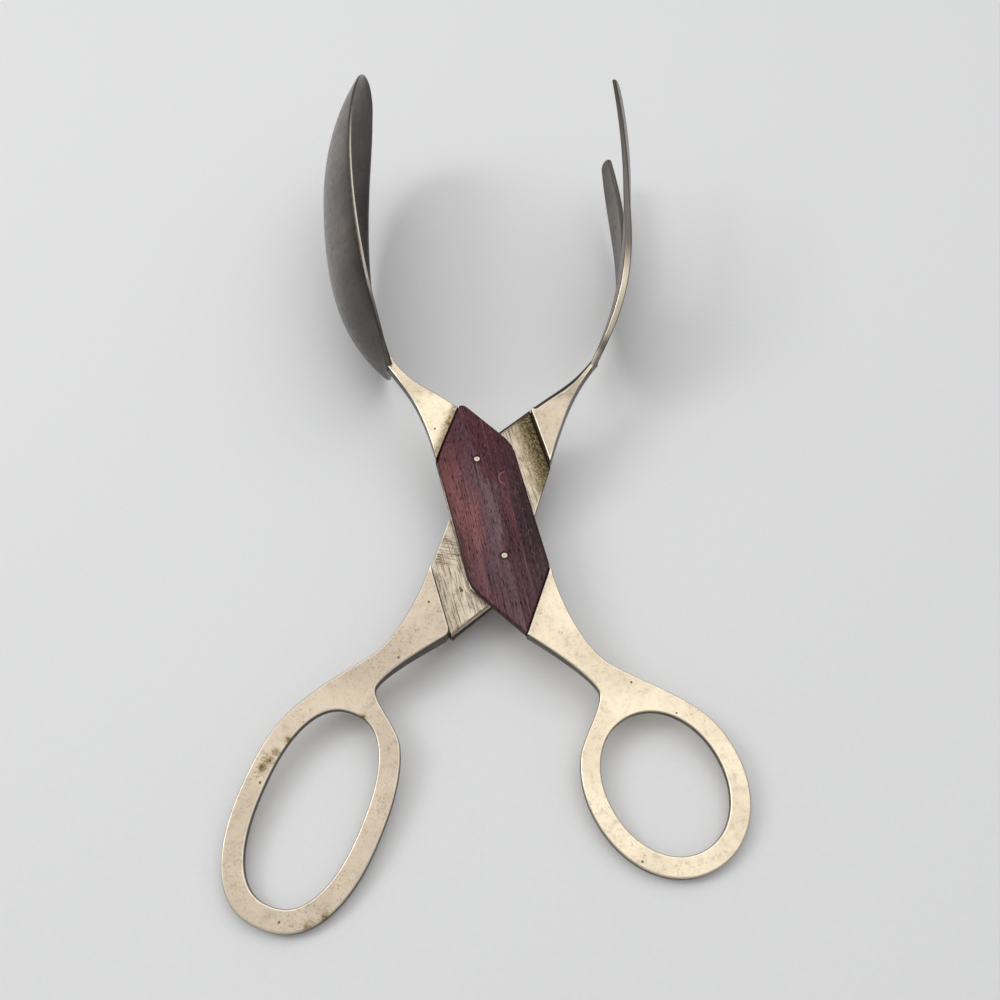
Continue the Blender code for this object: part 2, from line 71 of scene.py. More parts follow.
# %% [markdown]
# The camera was worked out from the photograph: the two arms are near mirror images, so the
# foreshortening between them gives a view 63 degrees above the scissor plane, from 270 mm, with
# a lens as long as the frame is wide.  The pair is turned one degree in the picture.

# %% Camera
CAMERA_PLACE = Vector((2.2, -118.6, 242.8)) * MM
CAMERA_DROP = math.radians(63.0)
PAIR_TURN = math.radians(1.1)
FRAME_WIDTH = 36.0

to_world = lying @ Matrix.Rotation(PAIR_TURN, 3, "Z")
right = to_world @ Vector((1.0, 0.0, 0.0))
ahead = to_world @ Vector((0.0, math.cos(CAMERA_DROP), -math.sin(CAMERA_DROP)))
facing = Matrix((right, right.cross(ahead), -ahead)).transposed().to_4x4()
camera = bpy.data.objects.new("camera", bpy.data.cameras.new("camera"))
bpy.context.collection.objects.link(camera)
camera.data.sensor_width = FRAME_WIDTH
camera.data.lens = FRAME_WIDTH
camera.data.clip_start = 0.01
camera.matrix_world = Matrix.Translation(pivot + to_world @ CAMERA_PLACE) @ facing
bpy.context.scene.camera = camera
print("camera at", [round(v / MM, 1) for v in camera.matrix_world.translation], "mm")

# %% [markdown]
# The sky, the table and every finish are node trees.  A tree could be wired by hand in the node
# editor; a few helpers do it here, so that each finish reads as a short list of what lies on it.

# %% Node helpers
def new_nodes(owner):
    """The node tree of a material or a world, emptied."""
    owner.use_nodes = True
    tree = owner.node_tree
    tree.nodes.clear()
    return tree


def plug(tree, socket, value):
    """An input's value, or the link from the output that feeds it."""
    if isinstance(value, bpy.types.NodeSocket):
        tree.links.new(value, socket)
    else:
        socket.default_value = value


def node(tree, kind, sockets=None, **settings):
    """One node: settings are its own properties, sockets its inputs, a value or an output."""
    made = tree.nodes.new(kind)
    for key, value in settings.items():
        setattr(made, key, value)
    for key, value in (sockets or {}).items():
        plug(tree, made.inputs[key], value)
    return made


def ramp(tree, fac, stops):
    """The colour at fac on a straight run through stops, which are (position, colour)."""
    made = node(tree, "ShaderNodeValToRGB", {"Fac": fac})
    while len(made.color_ramp.elements) < len(stops):
        made.color_ramp.elements.new(0.5)
    for element, (position, color) in zip(made.color_ramp.elements, stops):
        element.position = position
        element.color = color
    return made.outputs["Color"]


print("node helpers", [f.__name__ for f in (new_nodes, plug, node, ramp)])

# %% [markdown]
# The light is a plain studio's.  One large lamp hangs above and a little behind, where the flat
# faces mirror it, so that the metal looks bright from the photograph's side; a small one from the
# left gives the shadows their direction.  The sky is paler overhead than at the horizon, which
# gives curved metal something to show.

# %% Lamps and sky
HORIZON, OVERHEAD = (0.13, 0.135, 0.145, 1.0), (0.88, 0.88, 0.88, 1.0)

scene = bpy.context.scene
scene.view_settings.view_transform = "Standard"


def soft_lamp(name, place, size, watts):
    """A square lamp at place that faces the middle of the table."""
    lamp = bpy.data.lights.new(name, "AREA")
    lamp.size = size
    lamp.energy = watts
    holder = bpy.data.objects.new(name, lamp)
    bpy.context.collection.objects.link(holder)
    place = Vector(place)
    facing = (-place).to_track_quat("-Z", "Y").to_matrix().to_4x4()
    holder.matrix_world = Matrix.Translation(place) @ facing


soft_lamp("lamp_above", place=(0.06, 0.30, 1.00), size=1.38, watts=5.75)
soft_lamp("lamp_left", place=(-0.75, 0.05, 0.75), size=0.4, watts=2.2)

sky = bpy.data.worlds.new("sky")
scene.world = sky
tree = new_nodes(sky)
direction = node(tree, "ShaderNodeTexCoord").outputs["Generated"]
height = node(tree, "ShaderNodeSeparateXYZ", {"Vector": direction}).outputs["Z"]
shade_of_sky = ramp(tree, height, [(0.0, HORIZON), (0.75, OVERHEAD)])
glow = node(tree, "ShaderNodeBackground", {"Color": shade_of_sky, "Strength": 0.56})
node(tree, "ShaderNodeOutputWorld", {"Surface": glow.outputs["Background"]})
print("lamps", [lamp.name for lamp in bpy.data.lights])

# %% [markdown]
# The table is a flat sheet of pale paper.  A plain colour would look like a screen, so a fine
# noise gives it the faint fibre of real paper.

# %% Table
TABLE_REACH = 3.0
PAPER_DARK, PAPER_LIGHT = (0.80, 0.805, 0.81, 1.0), (0.85, 0.85, 0.85, 1.0)

table_mesh = bpy.data.meshes.new("table")
table_corners = TABLE_REACH * np.array([(-1, -1, 0), (1, -1, 0), (1, 1, 0), (-1, 1, 0)])
table_mesh.from_pydata(table_corners.tolist(), [], [(0, 1, 2, 3)])
table = bpy.data.objects.new("table", table_mesh)
bpy.context.collection.objects.link(table)
paper = bpy.data.materials.new("table_paper")
tree = new_nodes(paper)
spot = node(tree, "ShaderNodeTexCoord").outputs["Object"]
fibre = node(tree, "ShaderNodeTexNoise", {"Vector": spot, "Scale": 900.0, "Detail": 3.0})
tone = ramp(tree, fibre.outputs["Fac"], [(0.0, PAPER_DARK), (1.0, PAPER_LIGHT)])
sheet = node(tree, "ShaderNodeBsdfPrincipled", {"Base Color": tone, "Roughness": 0.85})
node(tree, "ShaderNodeOutputMaterial", {"Surface": sheet.outputs["BSDF"]})
table_mesh.materials.append(paper)
print("table", 2 * TABLE_REACH, "m square")

# %% [markdown]
# An arm's flat outline is made of straight edges at the lap, smooth cubic curves along the neck
# and the bar, and a rounded oval for the loop.  Such a line could be drawn as a Bezier curve
# object; as arrays its points can be spaced evenly, so that the eased edge that follows it is
# even too.

# %% Curves
def unit(v):
    """Each row divided by its length."""
    return v / np.linalg.norm(v, axis=-1, keepdims=True)


def cubic(points, steps=60):
    """Bernstein sum: (1-t)^3 a + 3(1-t)^2 t b + 3(1-t) t^2 c + t^3 d."""
    a, b, c, d = [np.array(p, float) for p in points]
    t = np.linspace(0.0, 1.0, steps + 1)[:, None]
    return (1 - t) ** 3 * a + 3 * (1 - t) ** 2 * t * b + 3 * (1 - t) * t ** 2 * c + t ** 3 * d


def rounded_oval(centre, half, power=2.0, tilt=0.0, start=0.0, stop=360.0, steps=240):
    """Superellipse |x/a|^n + |y/b|^n = 1 by its angle, turned by tilt degrees about centre."""
    t = np.radians(np.linspace(start, stop, steps + 1))
    c, s = np.cos(t), np.sin(t)
    x = half[0] * np.sign(c) * np.abs(c) ** (2.0 / power)
    y = half[1] * np.sign(s) * np.abs(s) ** (2.0 / power)
    r = math.radians(tilt)
    return np.stack([centre[0] + x * math.cos(r) - y * math.sin(r),
                     centre[1] + x * math.sin(r) + y * math.cos(r)], axis=1)


def even_run(points, spacing=0.7):
    """The same line with points a spacing apart along its length, last point left off."""
    points = np.asarray(points, float)
    steps = np.linalg.norm(np.diff(points, axis=0), axis=1)
    far = np.concatenate([[0.0], np.cumsum(steps)])
    count = max(2, int(round(far[-1] / spacing)))
    at = np.linspace(0.0, far[-1], count, endpoint=False)
    return np.stack([np.interp(at, far, points[:, k]) for k in range(2)], axis=1)


def closed_line(*runs, spacing=0.7):
    """Runs that follow on from each other, as one closed loop of points."""
    return np.concatenate([even_run(r, spacing) for r in runs])


print("points round a 10 mm ring", len(even_run(rounded_oval((0.0, 0.0), (5.0, 5.0)))))

# %% [markdown]
# The arms' sizes, in millimetres, are those of the solids: the lap's six corners, the neck, and
# the two loops.  The shoulders are the two slanting edges where an arm steps up from the lap, and
# the stops are the two other slanting edges, which meet the other arm's shoulders.  A loop's
# corner is how many points of the bar are taken off where it meets the shoulder.

# %% The arm's sizes
HALF_WIDTH, HALF_LENGTH, SIDE_END = 10.8, 35.7, 19.3
NECK_Y = 57.0
SPOON_NECK, FORK_NECK = (-17.2, 1.5), (-14.3, 0.8)
THUMB = dict(centre=(22.3, -78.6), hole=(14.2, 17.4), band=4.9, power=2.05, tilt=13.5, corner=0)
FINGER = dict(centre=(18.1, -84.7), hole=(12.6, 23.3), band=5.2, power=2.35, tilt=2.6, corner=5)

APEX, FLANK = np.array([0.0, HALF_LENGTH]), np.array([-HALF_WIDTH, SIDE_END])
LAP_CORNERS = np.array([APEX, FLANK, [-HALF_WIDTH, -SIDE_END],
                        -APEX, -FLANK, [HALF_WIDTH, SIDE_END]])
SHOULDER = unit(np.array([SIDE_END - HALF_LENGTH, HALF_WIDTH]))
STOP = unit(np.array([HALF_LENGTH - SIDE_END, HALF_WIDTH]))
REACH = float(APEX @ SHOULDER)
TO_SHOULDERS = np.array([1, 1, 0, -1, -1, 0])[:, None] * SHOULDER
SETBACK = APEX - 1.95 * unit(APEX - FLANK)
print("shoulders and stops lie", round(REACH, 2), "mm from the pivot")

# %% [markdown]
# Each half of an arm is one closed outline with the material on its left.  The jaw half is the
# shoulder and two cubic curves that close in on the neck.  The loop half runs down the inner
# bar, round a notch into the loop, and back by a waist up the outer bar.

# %% The arm's outline
def jaw_half_outline(neck_x, neck_half):
    """Shoulder, inner neck cubic, neck's end, outer neck cubic; both have their far handle 3.7
    inside the neck's middle."""
    bend = neck_x + 3.7
    near_apex = (-0.585 * HALF_WIDTH, HALF_LENGTH + 0.535 * HALF_WIDTH)
    inner = cubic([SETBACK, near_apex, (bend, NECK_Y - 8.5), (neck_x + neck_half, NECK_Y)])
    outer = cubic([(neck_x - neck_half, NECK_Y), (bend, NECK_Y - 12.0),
                   (-HALF_WIDTH, SIDE_END + 14.0), FLANK])
    return closed_line([FLANK, SETBACK], inner, [inner[-1], outer[0]], outer)


def loop_half_outline(loop):
    """Shoulder, inner bar, notch, round the loop, waist and back up the outer bar.  The corner
    between shoulder and bar is rounded off from as many points along the bar as corner says."""
    rim = [h + loop["band"] for h in loop["hole"]]
    ring = rounded_oval(loop["centre"], rim, loop["power"], loop["tilt"], 140.0, 392.0)
    into, out = unit(ring[1] - ring[0]), unit(ring[-1] - ring[-2])
    top = loop["centre"][1] + rim[1]
    notch, waist = np.array([13.5, top + 2.5]), np.array([18.2, top + 8.4])
    slope = np.array([-1.0, 1.0]) * 6.2 / math.sqrt(2.0)
    near_apex = (0.46 * HALF_WIDTH, -HALF_LENGTH - 0.52 * HALF_WIDTH)
    inner = cubic([-APEX, near_apex, notch + slope * (0.23, 0.98), notch])
    turn = cubic([notch, notch - slope * (0.1, 0.73), ring[0] - into * 5.0, ring[0]])
    outer = cubic([ring[-1], ring[-1] + out * 8.0, waist - slope, waist])
    bar = cubic([waist, waist + slope, (HALF_WIDTH, -SIDE_END - 14.0), -FLANK])
    start = [[-FLANK, -APEX]]
    if loop["corner"]:
        inner = inner[loop["corner"]:]
        before = -APEX + unit(APEX - FLANK) * np.linalg.norm(inner[0] + APEX)
        handles = [(before - 2 * APEX) / 3, (inner[0] - 2 * APEX) / 3]
        start = [[-FLANK, before], cubic([before, *handles, inner[0]], 12)]
    return closed_line(*start, inner, turn, ring, outer, bar)


def loop_hole_outline(loop):
    """The loop's hole, run clockwise, so that the material is on its left too."""
    hole = rounded_oval(loop["centre"], loop["hole"], loop["power"], loop["tilt"])
    return even_run(hole[::-1], 0.6)


print("outline points", len(jaw_half_outline(*SPOON_NECK)), len(loop_half_outline(THUMB)))

# %% [markdown]
# A flat casting with softened edges could be a bevelled extrusion.  Here it is one surface with
# two parameters: u runs round the outline, v runs over the edge from the lower face up the wall
# to the upper face as two quarter circles.  That needs four measures of an outline: the way in
# from each point, the room there, which points lie inside, and how far they are from the edge.

# %% Measures of an outline
def inner_normals(loop):
    """Left normal at each point: the mean of its two edges' left normals."""
    d1 = unit(loop - np.roll(loop, 1, axis=0))
    d2 = unit(np.roll(loop, -1, axis=0) - loop)
    return unit(np.stack([-d1[:, 1] - d2[:, 1], d1[:, 0] + d2[:, 0]], axis=1))


def room(loop, normal, loops):
    """Radius of the largest disc that touches each point from inside: the least of
    d.d / (2 n.d) over the other outline points, d being the way to them."""
    way = np.concatenate(loops)[None] - loop[:, None]
    ahead = (way * normal[:, None]).sum(axis=2)
    radius = np.where(ahead > 1e-6, (way ** 2).sum(axis=2) / np.maximum(2 * ahead, 1e-9), np.inf)
    return radius.min(axis=1)


def inside(points, loops):
    """Even-odd rule: a point is in if a ray to +X crosses the loops an odd number of times."""
    a = np.concatenate(loops)
    b = np.concatenate([np.roll(l, -1, axis=0) for l in loops])
    y = points[:, 1][:, None]
    over = (a[:, 1] > y) != (b[:, 1] > y)
    rise = np.where(b[:, 1] == a[:, 1], 1.0, b[:, 1] - a[:, 1])
    x = a[:, 0] + (y - a[:, 1]) / rise * (b[:, 0] - a[:, 0])
    return ((over & (points[:, 0][:, None] < x)).sum(axis=1) % 2) == 1


def nearest(points, loops):
    """Distance from each point to the nearest outline point."""
    line = np.concatenate(loops)
    return np.concatenate([np.sqrt(((part[:, None] - line) ** 2).sum(axis=2)).min(axis=1)
                           for part in np.array_split(points, max(1, len(points) // 800))])


thumb_hole = loop_hole_outline(THUMB)
thumb_band = [loop_half_outline(THUMB), thumb_hole]
print("least room beside the thumb hole",
      round(float(room(thumb_hole, inner_normals(thumb_hole), thumb_band).min()), 2), "mm")

# %% [markdown]
# The level faces left inside the innermost loop are filled by triangles over a lattice of points.
# One large polygon would do for a flat face, but these faces taper and carry noise in their
# finish, so they need points of their own.

# %% The level faces
def level_fill(rims, lattice):
    """A triangular lattice inside the rims, and triangles over rim points and lattice points
    together, numbered in that order and turned anticlockwise."""
    ring = np.concatenate(rims)
    lo, hi = ring.min(axis=0), ring.max(axis=0)
    row = lattice * 0.866
    gx, gy = np.meshgrid(np.arange(lo[0], hi[0], lattice), np.arange(lo[1], hi[1], row))
    gx = gx + (np.arange(len(gx)) % 2)[:, None] * lattice / 2
    grid = np.stack([gx.ravel(), gy.ravel()], axis=1)
    grid = grid[inside(grid, rims)]
    grid = grid[nearest(grid, rims) > 0.55 * lattice]
    starts = np.cumsum([0] + [len(rim) for rim in rims])
    turns = [np.arange(len(rim)) for rim in rims]
    sides = np.concatenate([s + np.stack([k, (k + 1) % len(k)], axis=1)
                            for s, k in zip(starts, turns)])
    flat = np.concatenate([ring, grid])
    made = delaunay_2d_cdt(flat.tolist(), sides.tolist(), [], 1, 1e-6)
    source = np.array([ids[0] for ids in made[3]])
    tris = source[np.array(made[2])]
    tris = tris[inside(flat[tris].mean(axis=1), rims)]
    a, b, c = flat[tris[:, 0]], flat[tris[:, 1]], flat[tris[:, 2]]
    ab, ac = b - a, c - a
    left = ab[:, 0] * ac[:, 1] - ab[:, 1] * ac[:, 0] > 0
    return grid, np.where(left[:, None], tris, tris[:, ::-1])


print("triangles over the thumb band", len(level_fill(thumb_band, 1.6)[1]))

# %% [markdown]
# The eased plate puts the two together.  Every height is a function of place, so the faces can
# taper, and each point keeps its distance to the edge for the finish.

# %% The eased plate
def level(height):
    """A face at one height all over."""
    return lambda x, y: np.full(np.shape(x), float(height))


def eased_plate(loops, top, bottom, ease, ease_low=None, collar=(1.5,), lattice=1.6, arc=5,
                bevel=0.0):
    """Points (x, y, z), quads, triangles and each point's distance to the edge.

    v goes over inset = ease (1 - cos f), drop = ease (1 - sin f), f from 90 degrees to 0 below
    and from 0 to 90 above; the collar's levels lie further in, on the flat, in eases.  The ease
    is less where the outline leaves less room, as in a sharp corner.  bevel, one number for each
    point of a single outline, is the slope at which the upper collar falls to the edge there; a
    collar that falls counts as edge, so that the finish gives it the walls' painted shade."""
    f = np.linspace(0.0, math.pi / 2, arc + 1)
    level_part = np.zeros(len(collar))
    inset = np.concatenate([collar[::-1], 1 - np.cos(f[::-1]), 1 - np.cos(f), collar])[:, None]
    drop = np.concatenate([level_part, 1 - np.sin(f[::-1]), 1 - np.sin(f), level_part])[:, None]
    levels = len(inset)
    upper = (np.arange(levels) >= levels // 2)[:, None]
    eases = np.where(upper, ease, ease if ease_low is None else ease_low)
    slope = np.where(upper, bevel, 0.0)
    points, quads, depth, low_ids, high_ids, rims, base = [], [], [], [], [], [], 0
    for loop in loops:
        normal = inner_normals(loop)
        here = np.minimum(eases, 0.82 / max(collar) * room(loop, normal, loops))
        flat = loop[None] + normal[None] * (inset * here)[..., None]
        x, y = flat[..., 0], flat[..., 1]
        fall = drop * here + slope * (max(collar) - inset) * here
        z = np.where(upper, top(x, y) - fall, bottom(x, y) + fall)
        points.append(np.concatenate([flat, z[..., None]], axis=2).reshape(-1, 3))
        depth.append((inset * here * np.clip(1 - 5.0 * slope, 0.0, 1.0)).ravel())
        ids = base + np.arange(levels * len(loop)).reshape(levels, len(loop))
        after = np.roll(ids, -1, axis=1)
        quads.append(np.stack([ids[:-1], after[:-1], after[1:], ids[1:]], axis=2).reshape(-1, 4))
        low_ids.append(ids[0])
        high_ids.append(ids[-1])
        rims.append(flat[-1])
        base += ids.size
    grid, tris = level_fill(rims, lattice)
    inward = nearest(grid, list(loops))
    for face in (bottom, top):
        points.append(np.column_stack([grid, face(grid[:, 0], grid[:, 1])]))
        depth.append(inward)
    low = np.concatenate(low_ids + [base + np.arange(len(grid))])
    high = np.concatenate(high_ids + [base + len(grid) + np.arange(len(grid))])
    triangles = np.concatenate([low[tris[:, ::-1]], high[tris]])
    return np.concatenate(points), np.concatenate(quads), triangles, np.concatenate(depth)


flat_ring = eased_plate(thumb_band, level(1.0), level(-1.0), 0.5)
print("thumb half laid flat:", len(flat_ring[0]), "points", len(flat_ring[1]), "quads",
      len(flat_ring[2]), "triangles")

# %% [markdown]
# An arm is thickest at the shoulders and thins to the loop and to the neck; the fork arm lies
# lower than the spoon arm, since its lap passes underneath.  The lap is the thin plate left
# between the shoulders.  An arm is therefore three plates that meet, the jaw half, the lap and
# the loop half, and its jaw.

# %% The arm's heights
LAP_FACE, LAP_BACK, FULL = 0.15, 1.5, 3.6
SPOON_UNDER, FORK_UNDER = 0.45, 1.9
LOOP_FACE, NECK_FACE = 1.25, 1.9


def smooth(t):
    """3t^2 - 2t^3, held at 0 and 1 outside."""
    t = np.clip(t, 0.0, 1.0)
    return t * t * (3.0 - 2.0 * t)


def arm_face(full, sign):
    """A face's height along the arm: full at the lap, easing to the loop's height over 24 mm and
    to the neck's over 15."""
    start = HALF_LENGTH + 0.8
    return lambda x, y: sign * (full + (LOOP_FACE - full) * smooth((-y - start) / 24.0)
                                + (NECK_FACE - full) * smooth((y - start) / 15.0))


print("upper face at lap, loop and neck",
      arm_face(FULL, 1)(0.0, np.array([0.0, THUMB["centre"][1], NECK_Y])).round(2), "mm")

# %% [markdown]
# The laps slide on each other.  Each has a bore for the rivet, and its two stop edges are
# bevelled, the one by the jaw more widely, so that they don't catch when the tongs are opened.

# %% The lap
JAW_BEVEL, LOOP_BEVEL = 1.6, 0.8
BORE_RADIUS = 2.4


def lap_outline(extra=0.3):
    """The six-sided lap, its two shoulder edges pushed under the shoulders by extra."""
    corners = LAP_CORNERS + TO_SHOULDERS * extra
    return closed_line(*[[corners[k], corners[(k + 1) % 6]] for k in range(6)])


def lap_bore():
    """The rivet's bore, run clockwise like the loop's hole."""
    return even_run(rounded_oval((0.0, 0.0), (BORE_RADIUS, BORE_RADIUS))[::-1], 0.5)


def sliding_face(up):
    """The face that slides: level, but falling at 45 degrees within its bevel of the loop's stop
    edge, and half as steeply within the wider one of the jaw's."""
    def height(x, y):
        far = x * STOP[0] + y * STOP[1]
        at_jaw = 0.5 * np.clip(JAW_BEVEL - APEX @ STOP + far, 0.0, JAW_BEVEL)
        at_loop = np.clip(LOOP_BEVEL - APEX @ STOP - far, 0.0, LOOP_BEVEL)
        return up * (LAP_FACE + at_jaw + at_loop)

    return height


print("lap outline", len(lap_outline()), "points, bore", len(lap_bore()))

# %% [markdown]
# The spoon stands on edge.  Its rim follows a curve in plan, its half width swells from the neck
# and closes at the tip as a superellipse, and between the rims it dishes outwards as a parabola.
# A single sheet with Solidify would have a square rim.  Here the wall has two skins that close on
# each other in a half ellipse at the rim, so the grid is a closed tube whose ends are points.

# %% Paths and tubes
def on_path(path, s):
    """Place and left normal of the cubic at each share s."""
    a, b, c, d = [np.array(p, float) for p in path]
    s = np.asarray(s, float)[..., None]
    at = (1 - s) ** 3 * a + 3 * (1 - s) ** 2 * s * b + 3 * (1 - s) * s ** 2 * c + s ** 3 * d
    go = unit(3 * (1 - s) ** 2 * (b - a) + 6 * (1 - s) * s * (c - b) + 3 * s ** 2 * (d - c))
    return at, np.stack([-go[..., 1], go[..., 0]], axis=-1)


def closed_tube(rings, edge):
    """Rings of points joined by quads, with a hub point and a fan of triangles at each end."""
    rows, n = rings.shape[:2]
    ids = np.arange(rows * n).reshape(rows, n)
    after = np.roll(ids, -1, axis=1)
    quads = np.stack([ids[:-1], ids[1:], after[1:], after[:-1]], axis=2).reshape(-1, 4)
    hubs = np.stack([rings[0].mean(axis=0), rings[-1].mean(axis=0)])
    first = np.stack([np.full(n, rows * n), ids[0], after[0]], axis=1)
    last = np.stack([np.full(n, rows * n + 1), after[-1], ids[-1]], axis=1)
    points = np.concatenate([rings.reshape(-1, 3), hubs])
    fans = np.concatenate([first, last])
    return points, quads, fans, np.concatenate([edge.ravel(), [0.0, 0.0]])


straight = [(0.0, 0.0), (0.0, 1.0), (0.0, 2.0), (0.0, 3.0)]
print("left normal of a path along +Y", on_path(straight, 0.5)[1])

# %% [markdown]
# The spoon's sizes are the solid's: 47 mm across, 10.7 mm deep, with a wall of 1.7 mm that thins
# to the rim.  A bowl could be pressed out of a flat grid with a sculpting tool; two parameters, s
# along the path and q across from rim to rim, give the same bowl each time.

# %% The spoon
SPOON_PATH = [(-16.9, 53.9), (-17.6, 61.0), (-20.3, 112.42), (-0.8, 166.3)]
SPOON_HALF, SPOON_ROOT_HALF = 23.4, 1.5
SPOON_WIDEST, SPOON_DEPTH, SPOON_WALL = 0.61, 10.7, 1.7
TIP_POWER = 2 / 2.8


def spoon_widths(along):
    """Half width and share of the path, ring by ring: root + (most - root) (1 - (1 - u)^3) to the
    widest place, then a superellipse to the tip."""
    u = np.linspace(0.0, 1.0, along, endpoint=False)
    t = np.linspace(0.0, math.pi / 2, along)
    swell = SPOON_ROOT_HALF + (SPOON_HALF - SPOON_ROOT_HALF) * (1 - (1 - u) ** 3.0)
    half = np.concatenate([swell, SPOON_HALF * np.cos(t) ** TIP_POWER])
    rest = SPOON_WIDEST + (1 - SPOON_WIDEST) * np.sin(t) ** TIP_POWER
    return np.maximum(half, 0.03), np.concatenate([u * SPOON_WIDEST, rest])


def spoon_skin(along=70, across=44, lip=6):
    """Depth (half / most)^2.3 times 1 - q^2 across; the wall thins by two fifths to the rim.
    Beside the neck the lower half is narrower, and the neck covers it.  The edge distance is
    negative on the inner skin."""
    half, share = spoon_widths(along)
    lip_width = np.minimum(0.5, 0.5 * half)
    f = np.linspace(0.0, math.pi / 2, lip + 1)
    rim = 1 - (lip_width / half)[:, None] * (1 - np.sin(f))
    body = np.linspace(-1.0, 1.0, across + 1)[1:-1] * rim[:, :1]
    q = np.concatenate([-rim[:, ::-1], body, rim], axis=1)
    close = np.concatenate([np.cos(f[::-1]), np.ones(across - 1), np.cos(f)])
    fade = np.sqrt(np.clip(1 - (1 - np.clip(half / 1.2, 0, 1)) ** 2, 0, 1))
    thin = 1 - 0.42 * smooth((half[:, None] - 3.0) / 8.0) * np.abs(q) ** 3
    wall = SPOON_WALL + 0.3 * np.exp(-share * 12)
    thick = close * thin * (0.5 * wall * fade)[:, None]
    q = np.concatenate([q, q[:, -2:0:-1]], axis=1)
    thick = np.concatenate([thick, -thick[:, -2:0:-1]], axis=1)
    at, out = on_path(SPOON_PATH, share)
    dish = (SPOON_DEPTH * (half / SPOON_HALF) ** 2.3)[:, None] * (1 - q ** 2)
    xy = at[:, None] + out[:, None] * (dish + thick)[..., None]
    z = q * half[:, None] * (1 - 0.5 * (q < 0) * (1 - smooth(share / 0.14))[:, None])
    edge = (1 - np.abs(q)) * half[:, None] * np.where(thick < 0, -1.0, 1.0)
    return closed_tube(np.concatenate([xy, z[..., None]], axis=2), edge)


print("spoon", len(spoon_skin()[0]), "points")

# %% [markdown]
# The fork is a bent sheet: its outline, with the two slots between its three tines, is drawn flat
# in Y and Z, made into an eased plate, and the plate is then bent along the fork's curve in plan.
# A smith would make it the same way.

# %% The fork laid flat
FORK_PATH = [(-13.7, 54.0), (-19.2, 87.0), (-9.0, 120.02), (4.9, 152.7)]
FORK_HALF, FORK_TIP_HALF, FORK_ROOT_HALF = 23.27, 18.9, 1.5
SLOT_END, SLOT_ROUND, SLOT_MIDDLE = 94.5, 2.3, 6.65
TINE_TIP, OUTER_TINE, MIDDLE_TINE_HALF = 2.6, 4.2, 1.5


def tine_tip(end, low, high):
    """Half an ellipse from low round to high, its point at end."""
    g = np.radians(np.linspace(-90.0, 90.0, 30))
    middle, half_width = (low + high) / 2, (high - low) / 2
    return np.stack([end - TINE_TIP + TINE_TIP * np.cos(g),
                     middle + half_width * np.sin(g)], axis=1)


def fork_outline():
    """Y and Z of the fork laid flat: the lower edge out, round the tine tips and back along the
    top.  The half width rises as 1 - (1 - s / 0.51)^1.9 and falls again as the square of the
    second half's share; the lower edge starts half as wide, and the neck covers it."""
    s = np.linspace(0.0, 1.0, 200)
    y = on_path(FORK_PATH, s)[0][:, 1]
    rise = 1 - (1 - np.clip(s / 0.51, 0, 1)) ** 1.9
    fall = np.clip((s - 0.5) / 0.5, 0, 1) ** 2
    half = (FORK_ROOT_HALF + (FORK_HALF - FORK_ROOT_HALF) * rise
            - (FORK_HALF - FORK_TIP_HALF) * fall)
    end = y[-1]
    keep = y < end - TINE_TIP
    edge = np.stack([y[keep], half[keep]], axis=1)
    low_edge = edge * np.stack([np.ones(keep.sum()), -0.5 - 0.5 * smooth(s[keep] / 0.12)], axis=1)
    f = np.radians(np.linspace(100.0, 260.0, 40))
    bend = np.stack([SLOT_END + SLOT_ROUND + SLOT_ROUND * np.cos(f),
                     SLOT_MIDDLE + SLOT_ROUND * np.sin(f)], axis=1)
    top_tip = tine_tip(end, FORK_TIP_HALF - OUTER_TINE, edge[-1, 1])
    mid_tip = tine_tip(end, -MIDDLE_TINE_HALF, MIDDLE_TINE_HALF)
    slot = np.concatenate([top_tip[:1], bend, mid_tip[-1:]])
    flip = np.array([1.0, -1.0])
    return closed_line(low_edge, (top_tip * flip)[::-1], slot * flip, mid_tip, slot[::-1],
                       top_tip, edge[::-1], [edge[0], low_edge[0]], spacing=0.6)


print("fork outline", len(fork_outline()), "points")

# %% [markdown]
# Bending carries the flat fork to its place.  A Curve modifier could do it, but the real fork also
# dishes between the tines and leans beside the neck, so each point is moved by its own sum.

# %% The fork bent
def fork_wall(y, z):
    """Half the wall: 0.6 inside the neck, 1.1 in the palm, thinning to 0.7 at the tips."""
    s = np.clip((y - FORK_PATH[0][1]) / (FORK_PATH[-1][1] - FORK_PATH[0][1]), 0, 1)
    return 0.5 * (2.4 - 1.0 * s - 1.2 * np.exp(-14 * s))


def bend_fork(plate):
    """The plate's (y, z, thickness) carried to the curve: place on it, plus its outward normal
    times thickness, a dish 4 (1 - (z / 17)^2) that grows along the tines, and a lean that
    carries the upper half out beside the neck, by 0.17 z, and a little in beyond the middle."""
    s_table = np.linspace(-0.02, 1.02, 400)
    y_table = on_path(FORK_PATH, s_table)[0][:, 1]
    y, z, thick = plate.T
    s = np.interp(y, y_table, s_table)
    at, out = on_path(FORK_PATH, s)
    dish = 4.0 * np.clip((s - 0.3) / 0.7, 0, 1) ** 1.5 * (1 - (z / 17.0) ** 2)
    lean = (0.17 * smooth(s / 0.06) - 0.227 * smooth((s - 0.06) / 0.44)
            + 0.057 * smooth((s - 0.5) / 0.5))
    return np.column_stack([at + out * (dish + lean * z + thick)[:, None], z])


def fork_skin():
    """The flat fork as an eased plate, its wall half each side, bent."""
    plate = eased_plate([fork_outline()], fork_wall, lambda y, z: -fork_wall(y, z), 0.5)
    return bend_fork(plate[0]), *plate[1:]


print("fork", len(fork_skin()[0]), "points")
